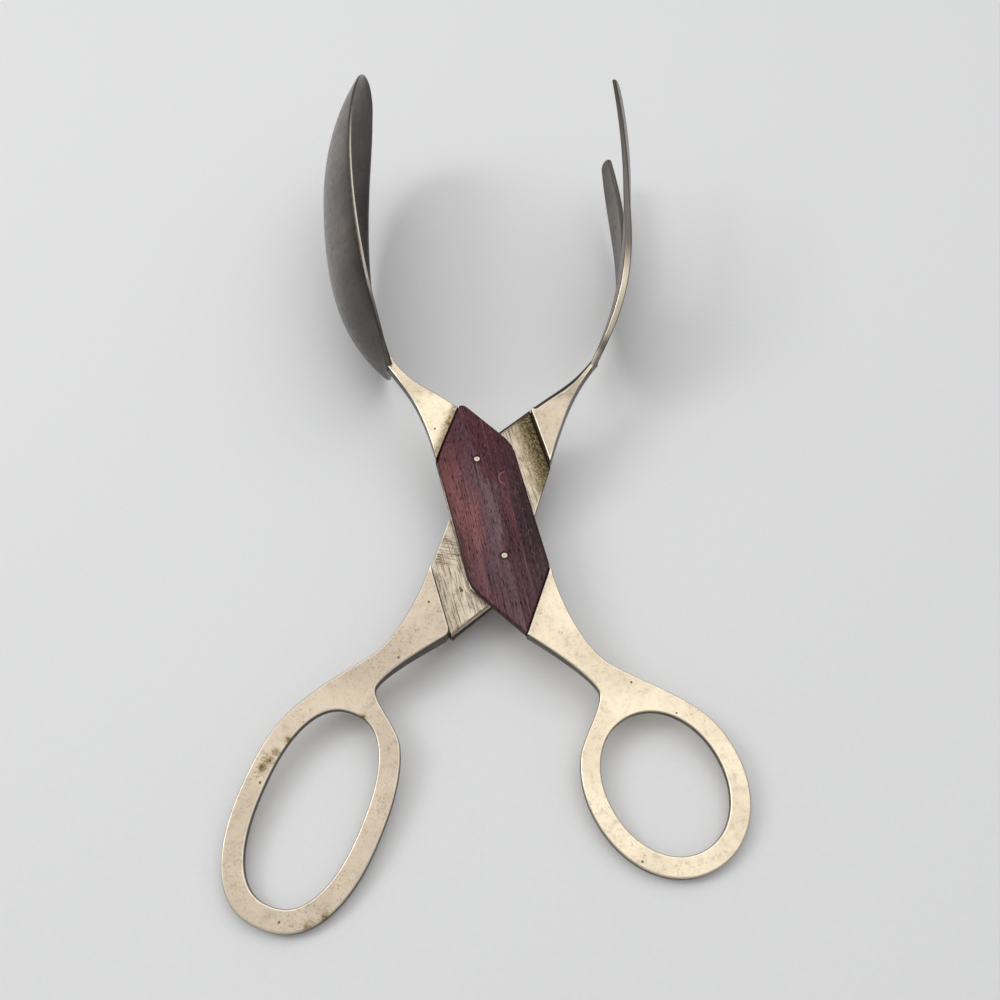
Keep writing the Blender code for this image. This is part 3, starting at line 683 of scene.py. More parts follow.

# %% [markdown]
# Each arm's shells go into one mesh.  Two attributes go with them for the finishes: `place`, the
# point in the arm's own frame in millimetres, so that marks keep their place on the metal, and
# `edge`, the distance to the nearest edge, along which the finish paints highlights on the edges
# and the walls' painted light and shade.  On the inside of the spoon it is negative, so that the
# finish can tell the two skins apart and paint shade inside.

# %% Meshes from arrays
def joined(shells, mirror):
    """Points, edge distances, corners, face starts and material numbers of all shells together.

    A shell is (points, quads, triangles, edge distance, material number).  Its volume is the sum
    of a . (b x c) over its triangles; one that comes out negative has its faces turned over, and
    mirroring turns them once more."""
    points, edges, corners, starts, slots = [], [], [], [], []
    base = corner = 0
    for shell_points, quads, triangles, edge, slot in shells:
        fan = shell_points[np.concatenate([triangles, quads[:, :3], quads[:, [0, 2, 3]]])]
        volume = np.einsum("ij,ij->i", fan[:, 0], np.cross(fan[:, 1], fan[:, 2])).sum()
        for faces, size in ((quads, 4), (triangles, 3)):
            faces = faces[:, ::-1] if mirror != (volume < 0) else faces
            corners.append((faces + base).ravel())
            starts.append(corner + size * np.arange(len(faces)))
            slots.append(np.full(len(faces), slot))
            corner += size * len(faces)
        points.append(shell_points)
        edges.append(edge)
        base += len(shell_points)
    whole = [np.concatenate(part) for part in (corners, starts, slots)]
    return np.concatenate(points), np.concatenate(edges), *[a.astype(np.int32) for a in whole]


def piece_from(name, shells, turn, mirror, materials):
    """One object from shells drawn in an arm's frame, carried to the arm's place."""
    local, edges, corners, starts, slots = joined(shells, mirror)
    world = (local * (-1.0 if mirror else 1.0, 1.0, 1.0)) @ turn.T * MM + np.array(pivot)
    mesh = bpy.data.meshes.new(name)
    mesh.vertices.add(len(world))
    mesh.vertices.foreach_set("co", world.ravel())
    mesh.loops.add(len(corners))
    mesh.loops.foreach_set("vertex_index", corners)
    mesh.polygons.add(len(starts))
    mesh.polygons.foreach_set("loop_start", starts)
    mesh.polygons.foreach_set("material_index", slots)
    mesh.update(calc_edges=True)
    mesh.validate()
    mesh.shade_smooth()
    mesh.set_sharp_from_angle(angle=math.radians(40))
    mesh.attributes.new("place", "FLOAT_VECTOR", "POINT").data.foreach_set("vector", local.ravel())
    mesh.attributes.new("edge", "FLOAT", "POINT").data.foreach_set("value", edges)
    for material in materials:
        mesh.materials.append(material)
    made = bpy.data.objects.new(name, mesh)
    bpy.context.collection.objects.link(made)
    print(name, len(mesh.vertices), "points", len(mesh.polygons), "faces")
    return made


tube = closed_tube(np.eye(3)[None] + np.arange(2)[:, None, None], np.zeros((2, 3)))
print("a three-sided tube has", len(joined([(*tube, 0)], False)[3]), "faces")

# %% [markdown]
# Metal and wood are both layers of marks: a base, then clouds, streaks, grime, wear, and painted
# highlights and shade, laid over it by masks that run from 0 to 1.  Image textures would need
# unwrapping and a picture; these masks are read from `place` and `edge`, so they need neither.

# %% Mixing and measuring in a finish
def mix(tree, fac, a, b):
    """A colour between a and b."""
    made = node(tree, "ShaderNodeMix", data_type="RGBA")
    for key, value in (("Factor", fac), ("A", a), ("B", b)):
        plug(tree, [s for s in made.inputs if s.name == key and s.enabled][0], value)
    return [s for s in made.outputs if s.enabled][0]


def calc(tree, operation, a, b=0.0):
    """One sum on numbers."""
    made = node(tree, "ShaderNodeMath", operation=operation)
    for socket, value in zip(made.inputs, (a, b)):
        plug(tree, socket, value)
    return made.outputs[0]


def times(tree, a, b):
    """a multiplied by b."""
    return calc(tree, "MULTIPLY", a, b)


def plus(tree, a, b):
    """a and b added."""
    return calc(tree, "ADD", a, b)


def step_range(tree, value, low, high, out_low=0.0, out_high=1.0):
    """value carried smoothly from low..high to out_low..out_high."""
    return node(tree, "ShaderNodeMapRange", {"Value": value, "From Min": low, "From Max": high,
                                             "To Min": out_low, "To Max": out_high},
                interpolation_type="SMOOTHSTEP").outputs["Result"]


def own(tree, attribute, output):
    """A value that the mesh carries."""
    return node(tree, "ShaderNodeAttribute", attribute_name=attribute).outputs[output]


print("sums", [f.__name__ for f in (mix, calc, times, plus, step_range, own)])

# %% [markdown]
# Marks come in two kinds.  Noise gives what is everywhere, such as clouds and grain, and is
# stretched along a direction for scratches.  Distances give what is in one spot, such as a pit.

# %% Noise and marks
def noise(tree, place, scale, detail=5.0, rough=0.6):
    """Cloudy noise from 0 to 1; scale is in features per millimetre."""
    return node(tree, "ShaderNodeTexNoise", {"Vector": place, "Scale": scale, "Detail": detail,
                                             "Roughness": rough}).outputs["Fac"]


def along_grain(tree, place, degrees, sizes):
    """place turned back by degrees about Z, then divided by sizes, which are in millimetres."""
    turn = (0.0, 0.0, math.radians(degrees))
    return node(tree, "ShaderNodeMapping", {"Vector": place, "Rotation": turn, "Scale": sizes},
                vector_type="TEXTURE").outputs["Vector"]


def seen_flat(tree, place):
    """place with its Z left out, so that a mark goes right through the thickness."""
    return node(tree, "ShaderNodeVectorMath", {0: place, 1: (1.0, 1.0, 0.0)},
                operation="MULTIPLY").outputs[0]


def distance(tree, flat, x, y):
    """Millimetres from the spot (x, y)."""
    return node(tree, "ShaderNodeVectorMath", {0: flat, 1: (x, y, 0.0)},
                operation="DISTANCE").outputs["Value"]


def marks(tree, flat, spots, core=0.25):
    """The most of several soft round marks (x, y, radius): 1 inside core times the radius, 0
    outside it."""
    total = None
    for x, y, r in spots:
        near = step_range(tree, distance(tree, flat, x, y), r, r * core)
        total = near if total is None else calc(tree, "MAXIMUM", total, near)
    return total


def from_shoulders(tree, flat):
    """Millimetres from the nearer of the two shoulder lines, which lie REACH either side of the
    pivot, and the distance along their normal."""
    dot = node(tree, "ShaderNodeVectorMath", {0: flat, 1: (*map(float, SHOULDER), 0.0)},
               operation="DOT_PRODUCT").outputs["Value"]
    past = calc(tree, "SUBTRACT", calc(tree, "ABSOLUTE", dot), REACH)
    return calc(tree, "ABSOLUTE", past), dot


print("marks", [f.__name__ for f in (noise, along_grain, distance, marks, from_shoulders)])

# %% [markdown]
# The bronze is a pale, slightly warm metal with a handled surface: a faint cloudy tarnish, fine
# brown specks, file marks on the laps, a painted highlight along the edges, painted shade on the
# walls, dark pits from the casting, and old oil and grime where the shoulders and the wood hold
# it, with painted shade in the crease at the shoulders.

# %% What lies on the bronze
ALONG_SHOULDER = math.degrees(math.atan2(HALF_LENGTH - SIDE_END, HALF_WIDTH))
CROSSED_PATCH = (8.6, -13.0, 5.5)
FILED, SPECK = (0.14, 0.112, 0.072, 1.0), (0.21, 0.165, 0.105, 1.0)
OIL, OLD_OIL = (0.30, 0.225, 0.105, 1.0), (0.070, 0.050, 0.022, 1.0)
# the second colour is grime together with painted shade for the crease at the shoulders
STAIN, CREASE_GRIME_AND_SHADE = (0.125, 0.092, 0.034, 1.0), (0.050, 0.038, 0.018, 1.0)
# the second colour is painted shade for the spoon and the fork
PIT, PAINTED_SHADE = (0.07, 0.052, 0.030, 1.0), (0.045, 0.043, 0.045, 1.0)


def file_marks(tree, place, flat):
    """Scratches along the shoulder's direction, crossed by steeper ones on one patch."""
    turn = ALONG_SHOULDER
    lines = noise(tree, along_grain(tree, place, turn, (7.0, 0.34, 1.0)), 1.0, 6.0, 0.72)
    cross = noise(tree, along_grain(tree, place, turn - 62.0, (9.0, 0.30, 1.0)), 1.0, 4.0, 0.6)
    patch = marks(tree, flat, [CROSSED_PATCH], 0.6)
    crossed = times(tree, step_range(tree, cross, 0.52, 0.60), patch)
    return calc(tree, "MAXIMUM", step_range(tree, lines, 0.47, 0.64), crossed)


def soaked(tree, color, flat, dots, soak, soak_reach):
    """Oil that has spread from the shoulders, thin and then thick, mostly on the jaw's side; also
    the distance to the shoulders."""
    away, dot = from_shoulders(tree, flat)
    gate = times(tree, step_range(tree, dot, -2.0, 6.0, 0.16, 1.0), soak)
    gate = times(tree, gate, step_range(tree, dots, 0.40, 0.58, 0.50, 1.0))
    for reach, tone in ((soak_reach, OIL), (soak_reach * 0.78, OLD_OIL)):
        spread = step_range(tree, away, reach, reach * 0.25)
        color = mix(tree, times(tree, spread, gate), color, tone)
    return color, away


def shaded(tree, along, signed, shade):
    """Painted shade: the stretch along Y between shade's four places, and the inside of the spoon.
    """
    comes, goes = shade[:2], shade[2:]
    stretch = times(tree, step_range(tree, along, *comes, 0.0, 0.66),
                    step_range(tree, along, *goes, 1.0, 0.0))
    return calc(tree, "MAXIMUM", stretch, step_range(tree, signed, -0.2, -1.2, 0.0, 0.72))


print("file marks run", round(ALONG_SHOULDER, 1), "degrees from +X")

# %% [markdown]
# One function makes every bronze.  It lays the marks down in order: tarnish first, then filing,
# specks, the painted edge highlight, the walls' painted shade and highlight, the painted dark
# stretches, oil and the grime and painted shade at the shoulders, stains, and pits last.  A
# separate tree for each finish would repeat most of this.

# %% Bronze
def bronze(name, clean, tarnish, rim, wall, rough, stains=(), pits=(), shoulder=0.0, soak=0.0,
           soak_reach=9.0, cut=0.0, dull=None, specks=0.4, shade=None):
    """Bronze: clean and tarnish mingle in clouds, rim is a painted highlight along the edges and
    wall the colour of the side below, painted shade on the castings' walls and a painted highlight
    on the spoon's and fork's upper side.  Stains and pits are (x, y, radius); shoulder is the
    strength of the grime and painted shade in the crease where an arm steps up, soak that of the
    oil spread soak_reach from there, cut that of the file marks left on a lap; dull gives the two
    places along
    Y between which the side's painted highlight fades to tarnish, specks the strength of fine
    brown dots, and shade the four places along Y where a stretch of painted shade comes and goes."""
    material = bpy.data.materials.new(name)
    tree = new_nodes(material)
    place, signed = own(tree, "place", "Vector"), own(tree, "edge", "Fac")
    edge = calc(tree, "ABSOLUTE", signed)
    along = node(tree, "ShaderNodeSeparateXYZ", {"Vector": place}).outputs["Y"]
    flat = seen_flat(tree, place)
    cloud, mottle = noise(tree, place, 0.06, 4.0, 0.55), noise(tree, place, 0.5, 6.0, 0.68)
    grain, dots = noise(tree, place, 2.6, 3.0, 0.7), noise(tree, place, 1.5, 4.0, 0.75)
    dark = [v * 0.62 for v in tarnish]
    browner = (dark[0] * 0.8, dark[1] * 0.7, dark[2] * 0.6, 1.0)
    color = mix(tree, step_range(tree, cloud, 0.34, 0.66), (*clean, 1.0), (*tarnish, 1.0))
    color = mix(tree, step_range(tree, mottle, 0.52, 0.74, 0.0, 0.40), color, (*dark, 1.0))
    color = mix(tree, step_range(tree, grain, 0.56, 0.74, 0.0, 0.42), color, browner)
    relief = plus(tree, times(tree, grain, 0.22), times(tree, mottle, 0.45))
    rough_out = step_range(tree, mottle, 0.35, 0.70, rough, rough + 0.12)
    if cut:
        filed = file_marks(tree, place, flat)
        color = mix(tree, times(tree, filed, cut), color, FILED)
        relief = calc(tree, "SUBTRACT", relief, times(tree, filed, 0.5))
        rough_out = plus(tree, rough_out, times(tree, filed, 0.12))
    thick_there = step_range(tree, noise(tree, place, 0.13, 3.0, 0.6), 0.40, 0.62, 0.25, 1.0)
    dotted = times(tree, step_range(tree, dots, 0.53, 0.66), thick_there)
    color = mix(tree, times(tree, dotted, specks), color, SPECK)
    # a painted highlight along the eased edges
    color = mix(tree, step_range(tree, edge, 0.55, 0.20, 0.0, 0.85), color, (*rim, 1.0))
    # the walls: painted shade on the castings, a painted highlight along the spoon's and fork's
    # upper side that fades to tarnish between dull's places
    side = (*wall, 1.0)
    if dull:
        side = mix(tree, step_range(tree, along, *dull), side, (*tarnish, 1.0))
    color = mix(tree, step_range(tree, edge, 0.14, 0.02), color, side)
    # painted shade along the dark stretch and inside the spoon
    if shade:
        color = mix(tree, shaded(tree, along, signed, shade), color, PAINTED_SHADE)
    if shoulder:
        color, away = soaked(tree, color, flat, dots, soak, soak_reach)
        # grime and painted shade in the crease along the shoulder line
        root = step_range(tree, away, 0.42, 0.12, 0.0, shoulder)
        color = mix(tree, root, color, CREASE_GRIME_AND_SHADE)
        rough_out = plus(tree, rough_out, times(tree, root, 0.25))
    if stains:
        broken = plus(tree, times(tree, mottle, 0.4), times(tree, dots, 0.6))
        spread = plus(tree, times(tree, marks(tree, flat, stains, 0.0), 0.42), broken)
        color = mix(tree, step_range(tree, spread, 0.52, 0.92, 0.0, 0.62), color, OIL)
        stained = step_range(tree, spread, 0.74, 1.02)
        color = mix(tree, times(tree, stained, 0.85), color, STAIN)
        rough_out = plus(tree, rough_out, times(tree, stained, 0.25))
    if pits:
        pitted = marks(tree, flat, pits, 0.6)
        color = mix(tree, times(tree, pitted, 0.85), color, PIT)
        relief = calc(tree, "SUBTRACT", relief, pitted)
    bump = node(tree, "ShaderNodeBump", {"Height": relief, "Strength": 0.35, "Distance": 0.00012})
    shader = node(tree, "ShaderNodeBsdfPrincipled",
                  {"Base Color": color, "Metallic": 1.0, "Roughness": rough_out,
                   "Normal": bump.outputs["Normal"]})
    node(tree, "ShaderNodeOutputMaterial", {"Surface": shader.outputs["BSDF"]})
    return material


# %% [markdown]
# Five bronzes: the spoon arm is paler than the fork arm, the laps are filed and stained, and the
# spoon and the fork are dark, with painted shade inside the spoon and in a stretch near their
# roots, and a painted highlight along their upper side that fades to tarnish along Y.  Stains and
# pits lie where the photograph shows them.

# %% The bronzes
# painted shade: the dark colour given to the castings' walls
SHADED_WALL = (0.09, 0.075, 0.058)
spoon_face = bronze(
    "spoon_arm_bronze", clean=(0.775, 0.68, 0.51), tarnish=(0.675, 0.57, 0.43),
    rim=(0.94, 0.86, 0.70), wall=SHADED_WALL, rough=0.30, shoulder=0.35, soak=0.62, soak_reach=3.0,
    stains=[(-4.9, 29.3, 2.4), (-4.0, 31.0, 1.6)],
    pits=[(-9.0, 28.8, 0.40), (21.9, -53.7, 0.35), (30.3, -63.7, 0.30), (11.4, -94.4, 0.35)])
fork_face = bronze(
    "fork_arm_bronze", clean=(0.57, 0.48, 0.375), tarnish=(0.495, 0.412, 0.32),
    rim=(0.92, 0.85, 0.72), wall=SHADED_WALL, rough=0.34, specks=0.7,
    stains=[(32.6, -80.1, 3.0), (32.2, -78.2, 3.0), (31.1, -75.7, 2.4), (29.4, -72.1, 2.2),
            (9.5, -109.6, 2.6), (6.3, -106.7, 2.4), (14.0, -61.6, 1.9)],
    pits=[(10.4, -45.4, 0.40), (7.8, -29.4, 0.40), (31.9, -83.5, 0.40), (15.8, -110.6, 0.35)])
lap_face = bronze(
    "lap_bronze", clean=(0.66, 0.575, 0.46), tarnish=(0.53, 0.455, 0.355),
    rim=(0.84, 0.77, 0.64), wall=SHADED_WALL, rough=0.36, shoulder=1.0, soak=1.0, cut=0.9,
    pits=[(1.3, -22.6, 0.55), (1.9, -22.0, 0.35)])
spoon_metal = bronze(
    "spoon_bronze", clean=(0.23, 0.20, 0.175), tarnish=(0.155, 0.135, 0.12),
    rim=(0.27, 0.235, 0.20), wall=(0.58, 0.51, 0.41), rough=0.27,
    dull=(116.0, 146.0), shade=(40.0, 50.0, 66.0, 100.0))
fork_metal = bronze(
    "fork_bronze", clean=(0.19, 0.166, 0.145), tarnish=(0.14, 0.122, 0.107),
    rim=(0.30, 0.262, 0.218), wall=(0.74, 0.65, 0.51), rough=0.29,
    dull=(74.0, 87.0), shade=(56.8, 58.8, 59.6, 62.8))
for metal in (spoon_face, fork_face, lap_face, spoon_metal, fork_metal):
    print(metal.name, len(metal.node_tree.nodes), "nodes")

# %% [markdown]
# The two castings.  The spoon arm's lap lies above the joint's middle plane and its scale on top;
# the fork arm is the other way up.  Separate objects for the plates would leave seams to hide;
# as shells of one mesh they overlap a little inside the metal.

# %% The castings
FORK_NECK_SLOPE = 0.28
ON_STOP = 1.62


def jaw_half(neck, inner_slope, faces):
    """The jaw half as an eased plate with a bevel of inner_slope along its inner neck, which sets
    in over 0.7 mm beyond the shoulder."""
    outline = jaw_half_outline(*neck)
    past = outline[:, 1] - SETBACK[1]
    inner_side = (inner_normals(outline)[:, 0] < -0.2) & (past > 0.1)
    # the bevel counts as edge, so the finish gives it the walls' painted shade
    slope = inner_slope * inner_side * smooth(past / 0.7)
    return eased_plate([outline], *faces, 0.5, 0.8, collar=(1.5, 2.4), bevel=slope)


def lap_plate(up):
    """The lap as an eased plate with its bore.  The bevel at its jaw end counts as edge, so that
    it takes the walls' painted shade and is as dark as they are."""
    faces = [level(up * LAP_BACK), sliding_face(up)][::up]
    points, quads, triangles, edge = eased_plate([lap_outline(), lap_bore()], *faces, 0.22,
                                                 collar=(1.5, 3.6, 7.3))
    on_stop = points[:, :2] @ STOP > APEX @ STOP - ON_STOP
    return points, quads, triangles, np.where(on_stop, 0.0, edge)


def casting(name, neck, inner_slope, loop, blade, up, under, turn, mirror, materials):
    """Jaw half, loop half with its hole, lap plate and blade, in one mesh."""
    faces = arm_face(FULL, 1), arm_face(under, -1)
    jaw = jaw_half(neck, inner_slope, faces)
    grip = eased_plate([loop_half_outline(loop), loop_hole_outline(loop)], *faces, 0.45, 0.7)
    shells = [(*jaw, 0), (*grip, 0), (*lap_plate(up), 1), (*blade, 2)]
    return piece_from(name, shells, turn, mirror, materials)


spoon_casting = casting("spoon_arm_casting", SPOON_NECK, 0.0, THUMB, spoon_skin(), 1, SPOON_UNDER,
                        spoon_turn, False, [spoon_face, lap_face, spoon_metal])
fork_casting = casting("fork_arm_casting", FORK_NECK, FORK_NECK_SLOPE, FINGER, fork_skin(), -1,
                       FORK_UNDER, fork_turn, True, [fork_face, lap_face, fork_metal])

# %% [markdown]
# The scales are hand-shaped rosewood: six sides with softened corners, a low crown across, and
# rounded upper edges.  Each is an eased plate like the castings, with a wide ease above and a
# narrow one below, and a pocket underneath for the rivet's head.

# %% The scales
SCALE_LOW, SCALE_HIGH, CROWN = 1.55, 3.7, 0.6
POCKET_DEEP, POCKET_RADIUS, POCKET_SLOPE = 1.15, 6.4, 1.2
CORNER_CUTS = [2.6, 2.6, 3.2, 0.8, 1.4, 3.6]


def scale_outline(inset=0.06):
    """The scale's six corners, each rounded by a small cubic that starts its cut away from it."""
    corners = LAP_CORNERS - TO_SHOULDERS * inset
    runs = []
    for k, cut in enumerate(CORNER_CUTS):
        before, here, after = corners[k - 1], corners[k], corners[(k + 1) % 6]
        start = here + unit(before - here) * cut
        stop = here + unit(after - here) * cut
        runs.append(cubic([start, (start + 2 * here) / 3, (stop + 2 * here) / 3, stop], 12))
        runs.append([stop, after + unit(here - after) * CORNER_CUTS[(k + 1) % 6]])
    return closed_line(*runs, spacing=0.6)


def scale_top(x, y):
    """A soft ridge: the face falls to both sides by crown times sqrt((x / w)^2 + 0.01) - 0.1."""
    return SCALE_HIGH - CROWN * (np.sqrt((x / HALF_WIDTH) ** 2 + 0.01) - 0.1)


def scale_bottom(x, y):
    """Level, but for a round pocket with a sloping side over the rivet's head."""
    return SCALE_LOW + POCKET_DEEP * smooth((POCKET_RADIUS - np.hypot(x, y)) / POCKET_SLOPE)


def scale_skin(up):
    """The scale as an eased plate, turned over for the lower one."""
    plate = eased_plate([scale_outline()], scale_top, scale_bottom, 0.7, 0.12, lattice=1.2, arc=7)
    return plate[0] * (1.0, 1.0, up), *plate[1:]


print("scale outline", len(scale_outline()), "points")

# %% [markdown]
# Rosewood has bands of brown, mauve and red that wander along the grain, dark streaks, small
# flecks and short open pores.  The bands are a ramp across X whose place is pushed about by long
# noise, so that they wander as growth rings do where a saw has cut along them.  The pale band at
# the ramp's middle is a painted sheen.

# %% Rosewood's colours
def painted(r, g, b):
    """A screen colour, 0 to 255, as the linear light that a shader wants."""
    c = np.array([r, g, b]) / 255.0
    return (*np.where(c > 0.04045, ((c + 0.055) / 1.055) ** 2.4, c / 12.92), 1.0)


# the pale stop at 0.53 is a painted sheen; the others are the wood's own bands
BANDS_AND_SHEEN = [(0.00, (100, 60, 60)), (0.06, (130, 80, 80)), (0.16, (146, 93, 92)),
         (0.27, (122, 77, 81)), (0.36, (104, 75, 84)), (0.46, (110, 85, 93)),
         (0.53, (122, 97, 101)), (0.58, (88, 59, 67)), (0.67, (98, 48, 56)),
         (0.80, (63, 34, 44)), (0.92, (53, 31, 41)), (1.00, (40, 22, 29))]
MAROON, DUSKY = painted(77, 24, 38), painted(86, 62, 71)
DARK_STREAK, PALE_STREAK = painted(44, 22, 29), painted(160, 108, 102)
DARK_FLECK, PALE_FLECK = painted(44, 22, 28), painted(168, 118, 114)
# the third colour is painted shade for the rounded edge
PORE, PIN_RING, SHADED_EDGE, SCRATCH = (painted(24, 12, 14), painted(28, 15, 16),
                                      painted(36, 18, 20), painted(176, 124, 110))
PIN_JAW_Y, PIN_LOOP_Y = 16.4, -13.4
CURL, NICK = (6.2, 8.9, 1.9), (-5.4, 13.2, 0.35)
print("bands", len(BANDS_AND_SHEEN))

# %% [markdown]
# Rosewood's pores are open holes a millimetre or two long, cut lengthwise.  Noise alone would
# smear them; a Voronoi noise gives each its own cell, so they stay apart and sharp.  The scale
# also has one curled scratch, part of a thin ring.

# %% Pores and scratch
def open_pores(tree, place):
    """Two sizes of short holes along Y: cells of a stretched Voronoi noise, of which only a part
    hold a pore, some wider than others."""
    pores = None
    for sizes, part in (((0.42, 3.0, 0.6), 0.50), ((0.30, 1.8, 0.5), 0.60)):
        grain = along_grain(tree, place, -3.0, sizes)
        cell = node(tree, "ShaderNodeTexVoronoi", {"Vector": grain, "Scale": 1.0}).outputs
        chance = node(tree, "ShaderNodeSeparateColor", {"Color": cell["Color"]}).outputs["Green"]
        wide = step_range(tree, chance, part, 1.0, 0.0, 0.32)
        pore = step_range(tree, calc(tree, "SUBTRACT", cell["Distance"], wide), 0.06, -0.04)
        pore = times(tree, pore, calc(tree, "GREATER_THAN", chance, part))
        pores = pore if pores is None else calc(tree, "MAXIMUM", pores, pore)
    return pores


def curled_scratch(tree, flat, curl):
    """The left side of a thin ring (x, y, radius), and a nick."""
    x, y, r = curl
    off_ring = calc(tree, "ABSOLUTE", calc(tree, "SUBTRACT", distance(tree, flat, x, y), r))
    left = marks(tree, flat, [(x - 0.8 * r, y + 0.3 * r, 1.25 * r)], 0.7)
    worn = times(tree, step_range(tree, off_ring, 0.16, 0.04), step_range(tree, left, 0.0, 0.6))
    return calc(tree, "MAXIMUM", worn, marks(tree, flat, [NICK]))


print("curled scratch at", CURL[:2], "mm")

# %% [markdown]
# The two scales are taken to come from one plank, so they share the bands, and a shift moves the
# cut.  The wood looks oiled rather than varnished, so it is fairly rough and reflects little.

# %% Rosewood
def rosewood(name, shift, curl=None):
    """Bands of brown, mauve and red across X that wander along Y, moved over by shift, with a pale
    band in the middle that is a painted sheen; dark streaks and flecks; short dark pores along Y;
    dark rings round the pins, and painted shade along the rounded edge."""
    material = bpy.data.materials.new(name)
    tree = new_nodes(material)
    place, edge = own(tree, "place", "Vector"), own(tree, "edge", "Fac")
    flat = seen_flat(tree, place)
    spot = node(tree, "ShaderNodeSeparateXYZ", {"Vector": place}).outputs
    wander = noise(tree, along_grain(tree, place, 0.0, (7.0, 20.0, 9.0)), 1.0, 4.0, 0.55)
    streaks = noise(tree, along_grain(tree, place, -2.0, (0.55, 24.0, 1.0)), 1.0, 6.0, 0.66)
    fleck = noise(tree, along_grain(tree, place, -3.0, (0.28, 1.3, 0.5)), 1.0, 3.0, 0.7)
    across = plus(tree, spot["X"], step_range(tree, wander, 0.2, 0.8, -3.8 + shift, 3.8 + shift))
    across = plus(tree, across, step_range(tree, streaks, 0.25, 0.75, -1.9, 1.9))
    share = plus(tree, times(tree, across, 0.5 / HALF_WIDTH), 0.5)
    color = ramp(tree, share, [(position, painted(*tone)) for position, tone in BANDS_AND_SHEEN])
    color = mix(tree, step_range(tree, spot["Y"], 2.0, 26.0, 0.0, 0.74), color, MAROON)
    color = mix(tree, step_range(tree, spot["Y"], -6.0, -22.0, 0.0, 0.5), color, DUSKY)
    color = mix(tree, step_range(tree, streaks, 0.51, 0.67, 0.0, 0.74), color, DARK_STREAK)
    color = mix(tree, step_range(tree, streaks, 0.46, 0.28, 0.0, 0.40), color, PALE_STREAK)
    color = mix(tree, step_range(tree, fleck, 0.50, 0.66, 0.0, 0.60), color, DARK_FLECK)
    color = mix(tree, step_range(tree, fleck, 0.48, 0.32, 0.0, 0.26), color, PALE_FLECK)
    pores = open_pores(tree, place)
    color = mix(tree, times(tree, pores, 0.8), color, PORE)
    rings = marks(tree, flat, [(0.0, PIN_JAW_Y, 1.7), (0.0, PIN_LOOP_Y, 1.7)], 0.6)
    color = mix(tree, times(tree, rings, 0.75), color, PIN_RING)
    # painted shade where the rounded edge turns from the light
    color = mix(tree, step_range(tree, edge, 0.7, 0.0, 0.0, 0.6), color, SHADED_EDGE)
    if curl:
        color = mix(tree, times(tree, curled_scratch(tree, flat, curl), 0.75), color, SCRATCH)
    rough = plus(tree, step_range(tree, streaks, 0.3, 0.7, 0.46, 0.58), times(tree, pores, 0.3))
    relief = calc(tree, "SUBTRACT", times(tree, streaks, 0.35), pores)
    bump = node(tree, "ShaderNodeBump", {"Height": relief, "Strength": 0.4, "Distance": 0.00012})
    shader = node(tree, "ShaderNodeBsdfPrincipled",
                  {"Base Color": color, "Roughness": rough, "Specular IOR Level": 0.22,
                   "Normal": bump.outputs["Normal"]})
    node(tree, "ShaderNodeOutputMaterial", {"Surface": shader.outputs["BSDF"]})
    return material


upper_wood = piece_from("upper_scale_wood", [(*scale_skin(1), 0)], spoon_turn, False,
                        [rosewood("rosewood_upper", 0.0, CURL)])
lower_wood = piece_from("lower_scale_wood", [(*scale_skin(-1), 0)], fork_turn, True,
                        [rosewood("rosewood_lower", 2.4)])

# %% [markdown]
# The pins are brass wire, filed flush and rubbed to a low dome; the rivet's two flat heads sit in
# pockets under the scales.  Both are turned shapes: a profile carried round an axis, as on a
# lathe.

# %% Pins and rivet
PIN_RADIUS, PIN_FOOT, PIN_TOP, PIN_DOME = 0.82, 0.4, 3.66, 0.07
RIVET_PROFILE = [(2.0, -2.5), (3.8, -2.5), (4.0, -2.3), (4.0, -1.8), (2.2, -1.8),
                 (2.2, 1.8), (4.0, 1.8), (4.0, 2.3), (3.8, 2.5), (2.0, 2.5)]


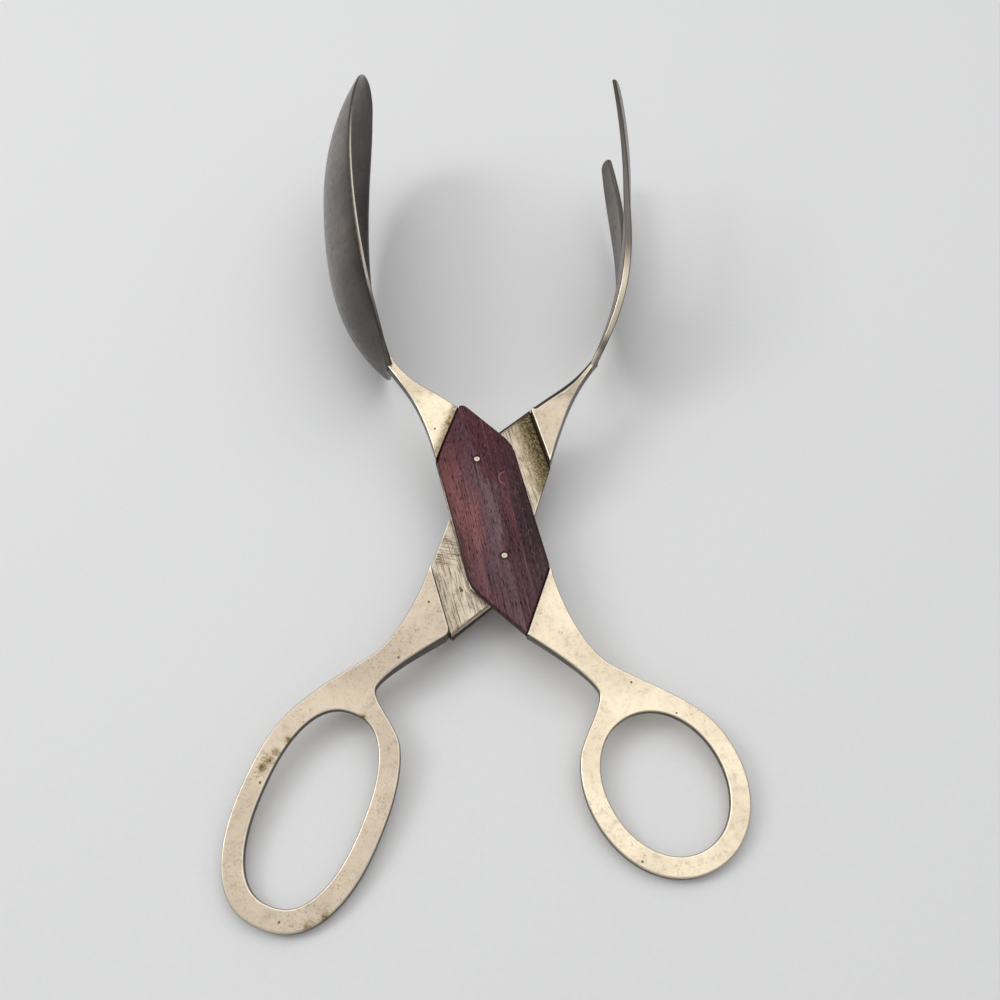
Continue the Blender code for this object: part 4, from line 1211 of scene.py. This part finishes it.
def turned(profile, at, up=1, count=32):
    """Profile (radius, height) carried round an upright axis at (x, y), its ends closed."""
    profile = np.array(profile, float)
    a = np.linspace(0.0, 2 * math.pi, count, endpoint=False)
    r, h = profile[:, :1], profile[:, 1:]
    rings = np.stack([at[0] + r * np.cos(a), at[1] + r * np.sin(a), up * h + 0 * a], axis=2)
    return closed_tube(rings, np.repeat(profile[:, 0].max() - profile[:, 0], count))


brass = bronze("pin_brass", clean=(0.60, 0.53, 0.40), tarnish=(0.50, 0.43, 0.31),
               rim=(0.62, 0.55, 0.42), wall=(0.32, 0.27, 0.19), rough=0.42)
rivet_metal = bronze("rivet_bronze", clean=(0.62, 0.53, 0.40), tarnish=(0.50, 0.41, 0.29),
                     rim=(0.72, 0.63, 0.49), wall=SHADED_WALL, rough=0.38)
dome = np.linspace(0.0, 0.94, 7)[1:] * math.pi / 2
pin_profile = np.concatenate([
    [(0.5, PIN_FOOT), (PIN_RADIUS, PIN_FOOT), (PIN_RADIUS, PIN_TOP)],
    np.stack([PIN_RADIUS * np.cos(dome), PIN_TOP + PIN_DOME * np.sin(dome)], axis=1)])
pins = {}
for arm, up, turn, mirror in (("upper", 1, spoon_turn, False), ("lower", -1, fork_turn, True)):
    for end, y in (("jaw", PIN_JAW_Y), ("loop", PIN_LOOP_Y)):
        name = arm + "_pin_" + end
        pins[name] = piece_from(name + "_brass", [(*turned(pin_profile, (0.0, y), up), 0)],
                                turn, mirror, [brass])
rivet = piece_from("pivot_rivet_turned", [(*turned(RIVET_PROFILE, (0.0, 0.0)), 0)],
                   fork_turn, True, [rivet_metal])

# %% [markdown]
# Every piece rides on its side of the tongs and stands for its solid, whose part is hidden; the
# list gives each one's finish as well.

# %% Bodies, solids and finishes
dressed = [(spoon_casting, "spoon_side", "spoon_arm", "spoon_bronze"),
           (fork_casting, "fork_side", "fork_arm", "fork_bronze"),
           (upper_wood, "spoon_side", "upper_scale", "rosewood_upper"),
           (lower_wood, "fork_side", "lower_scale", "rosewood_lower"),
           (rivet, "fork_side", "pivot_rivet", "rivet_bronze")]
dressed += [(piece, "spoon_side" if name.startswith("upper") else "fork_side", name, "pin_brass")
            for name, piece in pins.items()]
for piece, body, solid, finish in dressed:
    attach(piece, body)
    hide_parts(solid)
